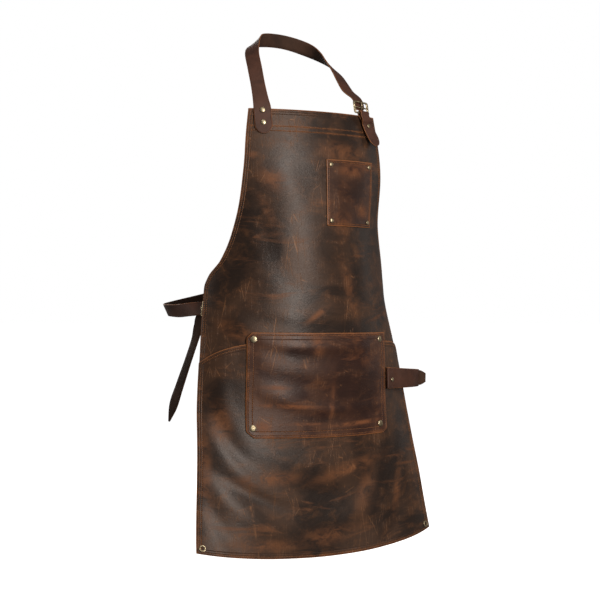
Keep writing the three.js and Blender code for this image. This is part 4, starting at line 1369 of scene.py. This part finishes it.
def rivets():
    strap_u = STRAP_IN - BIB_HALF
    tab_v = TAB_LAP * TAB_RIVET_AT
    on_hide = FIT + STRAP_HIDE
    on_lap = LAP_OUT + INSIDE_FIT + LOOP_FOLD + 2 * STRAP_HIDE
    rivet("strap_rivet_upper", strap_u, 0.05 * STRAP_LAP + 1, STRAP_CAP, on_hide)
    rivet("strap_rivet_lower", strap_u, 0.57 * STRAP_LAP, STRAP_CAP, on_hide)
    rivet("tab_rivet", tab_u(tab_v), tab_v, SMALL_CAP, 2 * on_hide + PLAY)
    rivet("loop_rivet", LOOP_AT + LOOP_RIVET_IN, LOOP_DROP + LOOP_SAG, SMALL_CAP, on_lap)
    for name, p in (("front_pocket", FRONT_POCKET), ("chest_pocket", CHEST_POCKET)):
        inset = p["rivet_in"]
        right, left = p["left"] + inset, p["left"] + p["width"] - inset - p["cut_right"] / 2
        upper, lower = p["top"] + inset, p["top"] + p["height"] - inset - p["cut_left"] / 3
        for down, v in (("upper", upper), ("lower", lower)):
            for side, u in (("right", right), ("left", left)):
                rivet(f"{name}_rivet_{down}_{side}", u, v, p["cap"], pocket_base(p) + POCKET_HIDE)


def eyelet(name, side):
    v = APRON_LENGTH - EYELET_IN
    u = side * (float(half_width(v)) - EYELET_IN)
    top, bottom = LAP_OUT + PLAY, INSIDE
    outer, barrel, bore = EYELET / 2, EYELET / 2 - EYELET_ROLL, EYELET_BORE / 2
    profile = [(barrel, bottom), (outer, bottom), (outer, bottom - WASHER), (bore, bottom - WASHER)]
    for a in np.linspace(0, math.pi, 12):
        profile.append((bore + (outer - bore) * (1 - math.cos(a)) / 2, top + EYELET_ROLL * math.sin(a)))
    profile += [(barrel, top), profile[0]]
    points, faces = lathe(profile)
    fitting("ring_" + name, name, seated(points, u, v), faces)


def rounded_path(half_long, half_tall, radius, steps=6):
    """A rounded rectangle through the middle of a rod."""
    path = []
    for cx, cy, start in ((1, 1, 0), (-1, 1, 90), (-1, -1, 180), (1, -1, 270)):
        for k in range(steps + 1):
            c, s = cos_sin(start + 90 * k / steps)
            path.append((cx * (half_long - radius) + radius * c, cy * (half_tall - radius) + radius * s, 0))
    return path


def soft_section(half_a, half_b, sides=14):
    """A section between a circle and a square."""
    made = []
    for k in range(sides):
        a = 2 * math.pi * k / sides
        c, s = math.cos(a), math.sin(a)
        made.append((half_a * math.copysign(abs(c) ** 0.7, c), half_b * math.copysign(abs(s) ** 0.7, s)))
    return made


def buckle(name, node, pose, length):
    """A frame with a bar across its middle. Its end bars are wider than its rod, on the inside."""
    half_long, rod = (length - FRAME_ROD) / 2, FRAME_ROD / 2
    ring = sweep(rounded_path(half_long, BAR_AT, FRAME_CORNER), (0, 0, 1), soft_section(rod, rod), True)
    route = [(x, 0, 0) for x in np.linspace(-half_long, half_long, 8)]
    bar = sweep(route, (0, 0, 1), soft_section(CENTRE_BAR_DEEP / 2, CENTRE_BAR / 2), False)
    points, faces = joined(ring, bar)
    inner = half_long - np.abs(points[:, 0])
    widened = (inner > 0) & (inner < rod + 0.1) & (len(ring[0]) > np.arange(len(points)))
    points[widened, 0] = np.sign(points[widened, 0]) * (half_long - END_BAR_SWELL * inner[widened])
    fitting(name, node, all_in_pose(pose, points), faces, pale_brass)


def prong(name, node, pose):
    """A flat rod rolled round the centre bar, with its tip on the frame."""
    middle = math.hypot(CENTRE_BAR, FRAME_ROD) / 2 + PLAY * 0.6 + 0.7
    rest = FRAME_ROD / 2 + PLAY + 0.75
    roll = np.linspace(math.radians(-200), math.radians(80), 22)
    path = [(0, middle * math.cos(a), middle * math.sin(a)) for a in roll]
    path += [(0, 4.2, middle + 0.1), (0, BAR_AT - FRAME_ROD, rest + 0.15)]
    path += [(0, BAR_AT, rest), (0, BAR_AT + 2.4, rest - 0.1)]
    points, faces = sweep(path, (1, 0, 0), soft_section(PRONG / 2, PRONG_DEEP / 2), False)
    fitting(name, node, all_in_pose(pose, points), faces, pale_brass)


# Making

hide = apron_hide()
lap = lap_panel()
front = pocket("big_pocket", "front_pocket", FRONT_POCKET, pocket_finish)
chest = pocket("small_pocket", "chest_pocket", CHEST_POCKET, chest_finish)
hide_threads = hide_stitching()
back_threads = flesh_side_stitching()
lap_threads = lap_stitching()
front_threads = pocket_stitching("big_pocket_stitches", FRONT_POCKET)
chest_threads = pocket_stitching("small_pocket_stitches", CHEST_POCKET)
neck_strap()
neck_tab()
waist_tab()
waist_belt()
tool_loop()
rivets()
eyelet("eyelet_right", -1)
eyelet("eyelet_left", 1)
buckle("neck_buckle", "neck_buckle_frame", neck_pose, NECK_FRAME)
buckle("belt_buckle", "waist_buckle_frame", waist_pose, WAIST_FRAME)
prong("neck_prong", "neck_buckle_prong", neck_pose)
prong("belt_prong", "waist_buckle_prong", waist_pose)


# Stage, light and camera


FLOOR_Z = -1.10
FLOOR_REACH = 30
FLOOR_GLOW = 0.9
SKY_SEEN = 1.0
SKY_ON_LEATHER = 0.17
LAMP_COLOUR = (1.0, 0.95, 0.9)
PART_MIDDLE = Vector((0, -0.15, -0.5))

# Area lights: name, azimuth, elevation, distance in metres, size, watts
LIGHTS = [
    ("key", 2, 14, 2.6, (0.58, 2.2), 80),
    ("top", -40, 62, 2.4, (1.2, 1.2), 8),
    ("right_fill", 80, 12, 2.6, (0.8, 1.8), 4),
    ("left_rim", -118, 10, 2.6, (0.6, 1.8), 12),
    ("back_fill", 180, 20, 2.8, (1.6, 1.8), 36),
]

# The camera looks level from the front and the wearer's right. Its first three sizes are in pixels of the
# photograph, and its distance and drop are in metres.
PHOTO_WIDTH = 600
FOCAL_LENGTH = 1573
SHIFT = 10.6
SENSOR = 36
CAMERA_AZIMUTH = -30
CAMERA_FAR = 3.1285
CAMERA_DROP = 0.3636
CAMERA_ROLL = 0.6


def round_about(azimuth, elevation):
    """The way out from the part, where azimuth 0 is in front of it."""
    (ahead, aside), (level, rise) = cos_sin(azimuth), cos_sin(elevation)
    return Vector((aside * level, -ahead * level, rise))


def stage_plane():
    """A pale floor that is seen but doesn't light the part."""
    mesh = bpy.data.meshes.new("floor")
    z, far = FLOOR_Z, FLOOR_REACH
    mesh.from_pydata([(-far, -far, z), (far, -far, z), (far, far, z), (-far, far, z)], [], [(0, 1, 2, 3)])
    piece = bpy.data.objects.new("floor", mesh)
    bpy.context.scene.collection.objects.link(piece)
    f = Finish("pale_floor")
    f.shader.inputs["Emission Color"].default_value = (1, 1, 1, 1)
    f.shader.inputs["Emission Strength"].default_value = FLOOR_GLOW
    f.done((0.9, 0.9, 0.9), 0.9)
    mesh.materials.append(f.material)
    piece.visible_diffuse = False
    piece.visible_glossy = False


def light(name, azimuth, elevation, distance, size, power):
    """A soft light that looks at the part's middle."""
    back = round_about(azimuth, elevation)
    data = bpy.data.lights.new(name, "AREA")
    data.shape, data.size, data.size_y, data.energy = "RECTANGLE", size[0], size[1], power
    data.color = LAMP_COLOUR
    lamp = bpy.data.objects.new(name, data)
    lamp.location = PART_MIDDLE + back * distance
    lamp.rotation_mode = "QUATERNION"
    lamp.rotation_quaternion = (-back).to_track_quat("-Z", "Y")
    bpy.context.scene.collection.objects.link(lamp)


def studio():
    """White behind the apron, and a dimmer white round it, so that the lights shape the leather."""
    world = bpy.data.worlds.new("studio")
    bpy.context.scene.world = world
    world.use_nodes = True
    tree = world.node_tree
    sky = next(n for n in tree.nodes if n.type == "BACKGROUND")
    sky.inputs["Color"].default_value = (1, 1, 1, 1)
    seen = tree.nodes.new("ShaderNodeLightPath")
    bright = tree.nodes.new("ShaderNodeMapRange")
    tree.links.new(seen.outputs["Is Camera Ray"], bright.inputs["Value"])
    bright.inputs["To Min"].default_value = SKY_ON_LEATHER
    bright.inputs["To Max"].default_value = SKY_SEEN
    tree.links.new(bright.outputs["Result"], sky.inputs["Strength"])
    for row in LIGHTS:
        light(*row)
    bpy.context.scene.view_settings.view_transform = "Standard"


def camera():
    data = bpy.data.cameras.new("camera")
    data.sensor_width = SENSOR
    data.lens = FOCAL_LENGTH / PHOTO_WIDTH * SENSOR
    data.shift_x = SHIFT / PHOTO_WIDTH
    data.clip_end = 100
    piece = bpy.data.objects.new("camera", data)
    back = round_about(CAMERA_AZIMUTH, 0)
    piece.location = back * CAMERA_FAR + Vector((0, -ORIGIN[1] * MM, -CAMERA_DROP - ORIGIN[2] * MM))
    piece.rotation_mode = "QUATERNION"
    level = (-back).to_track_quat("-Z", "Y")
    piece.rotation_quaternion = level @ Matrix.Rotation(math.radians(CAMERA_ROLL), 3, "Z").to_quaternion()
    bpy.context.scene.collection.objects.link(piece)
    bpy.context.scene.camera = piece


stage_plane()
studio()
camera()
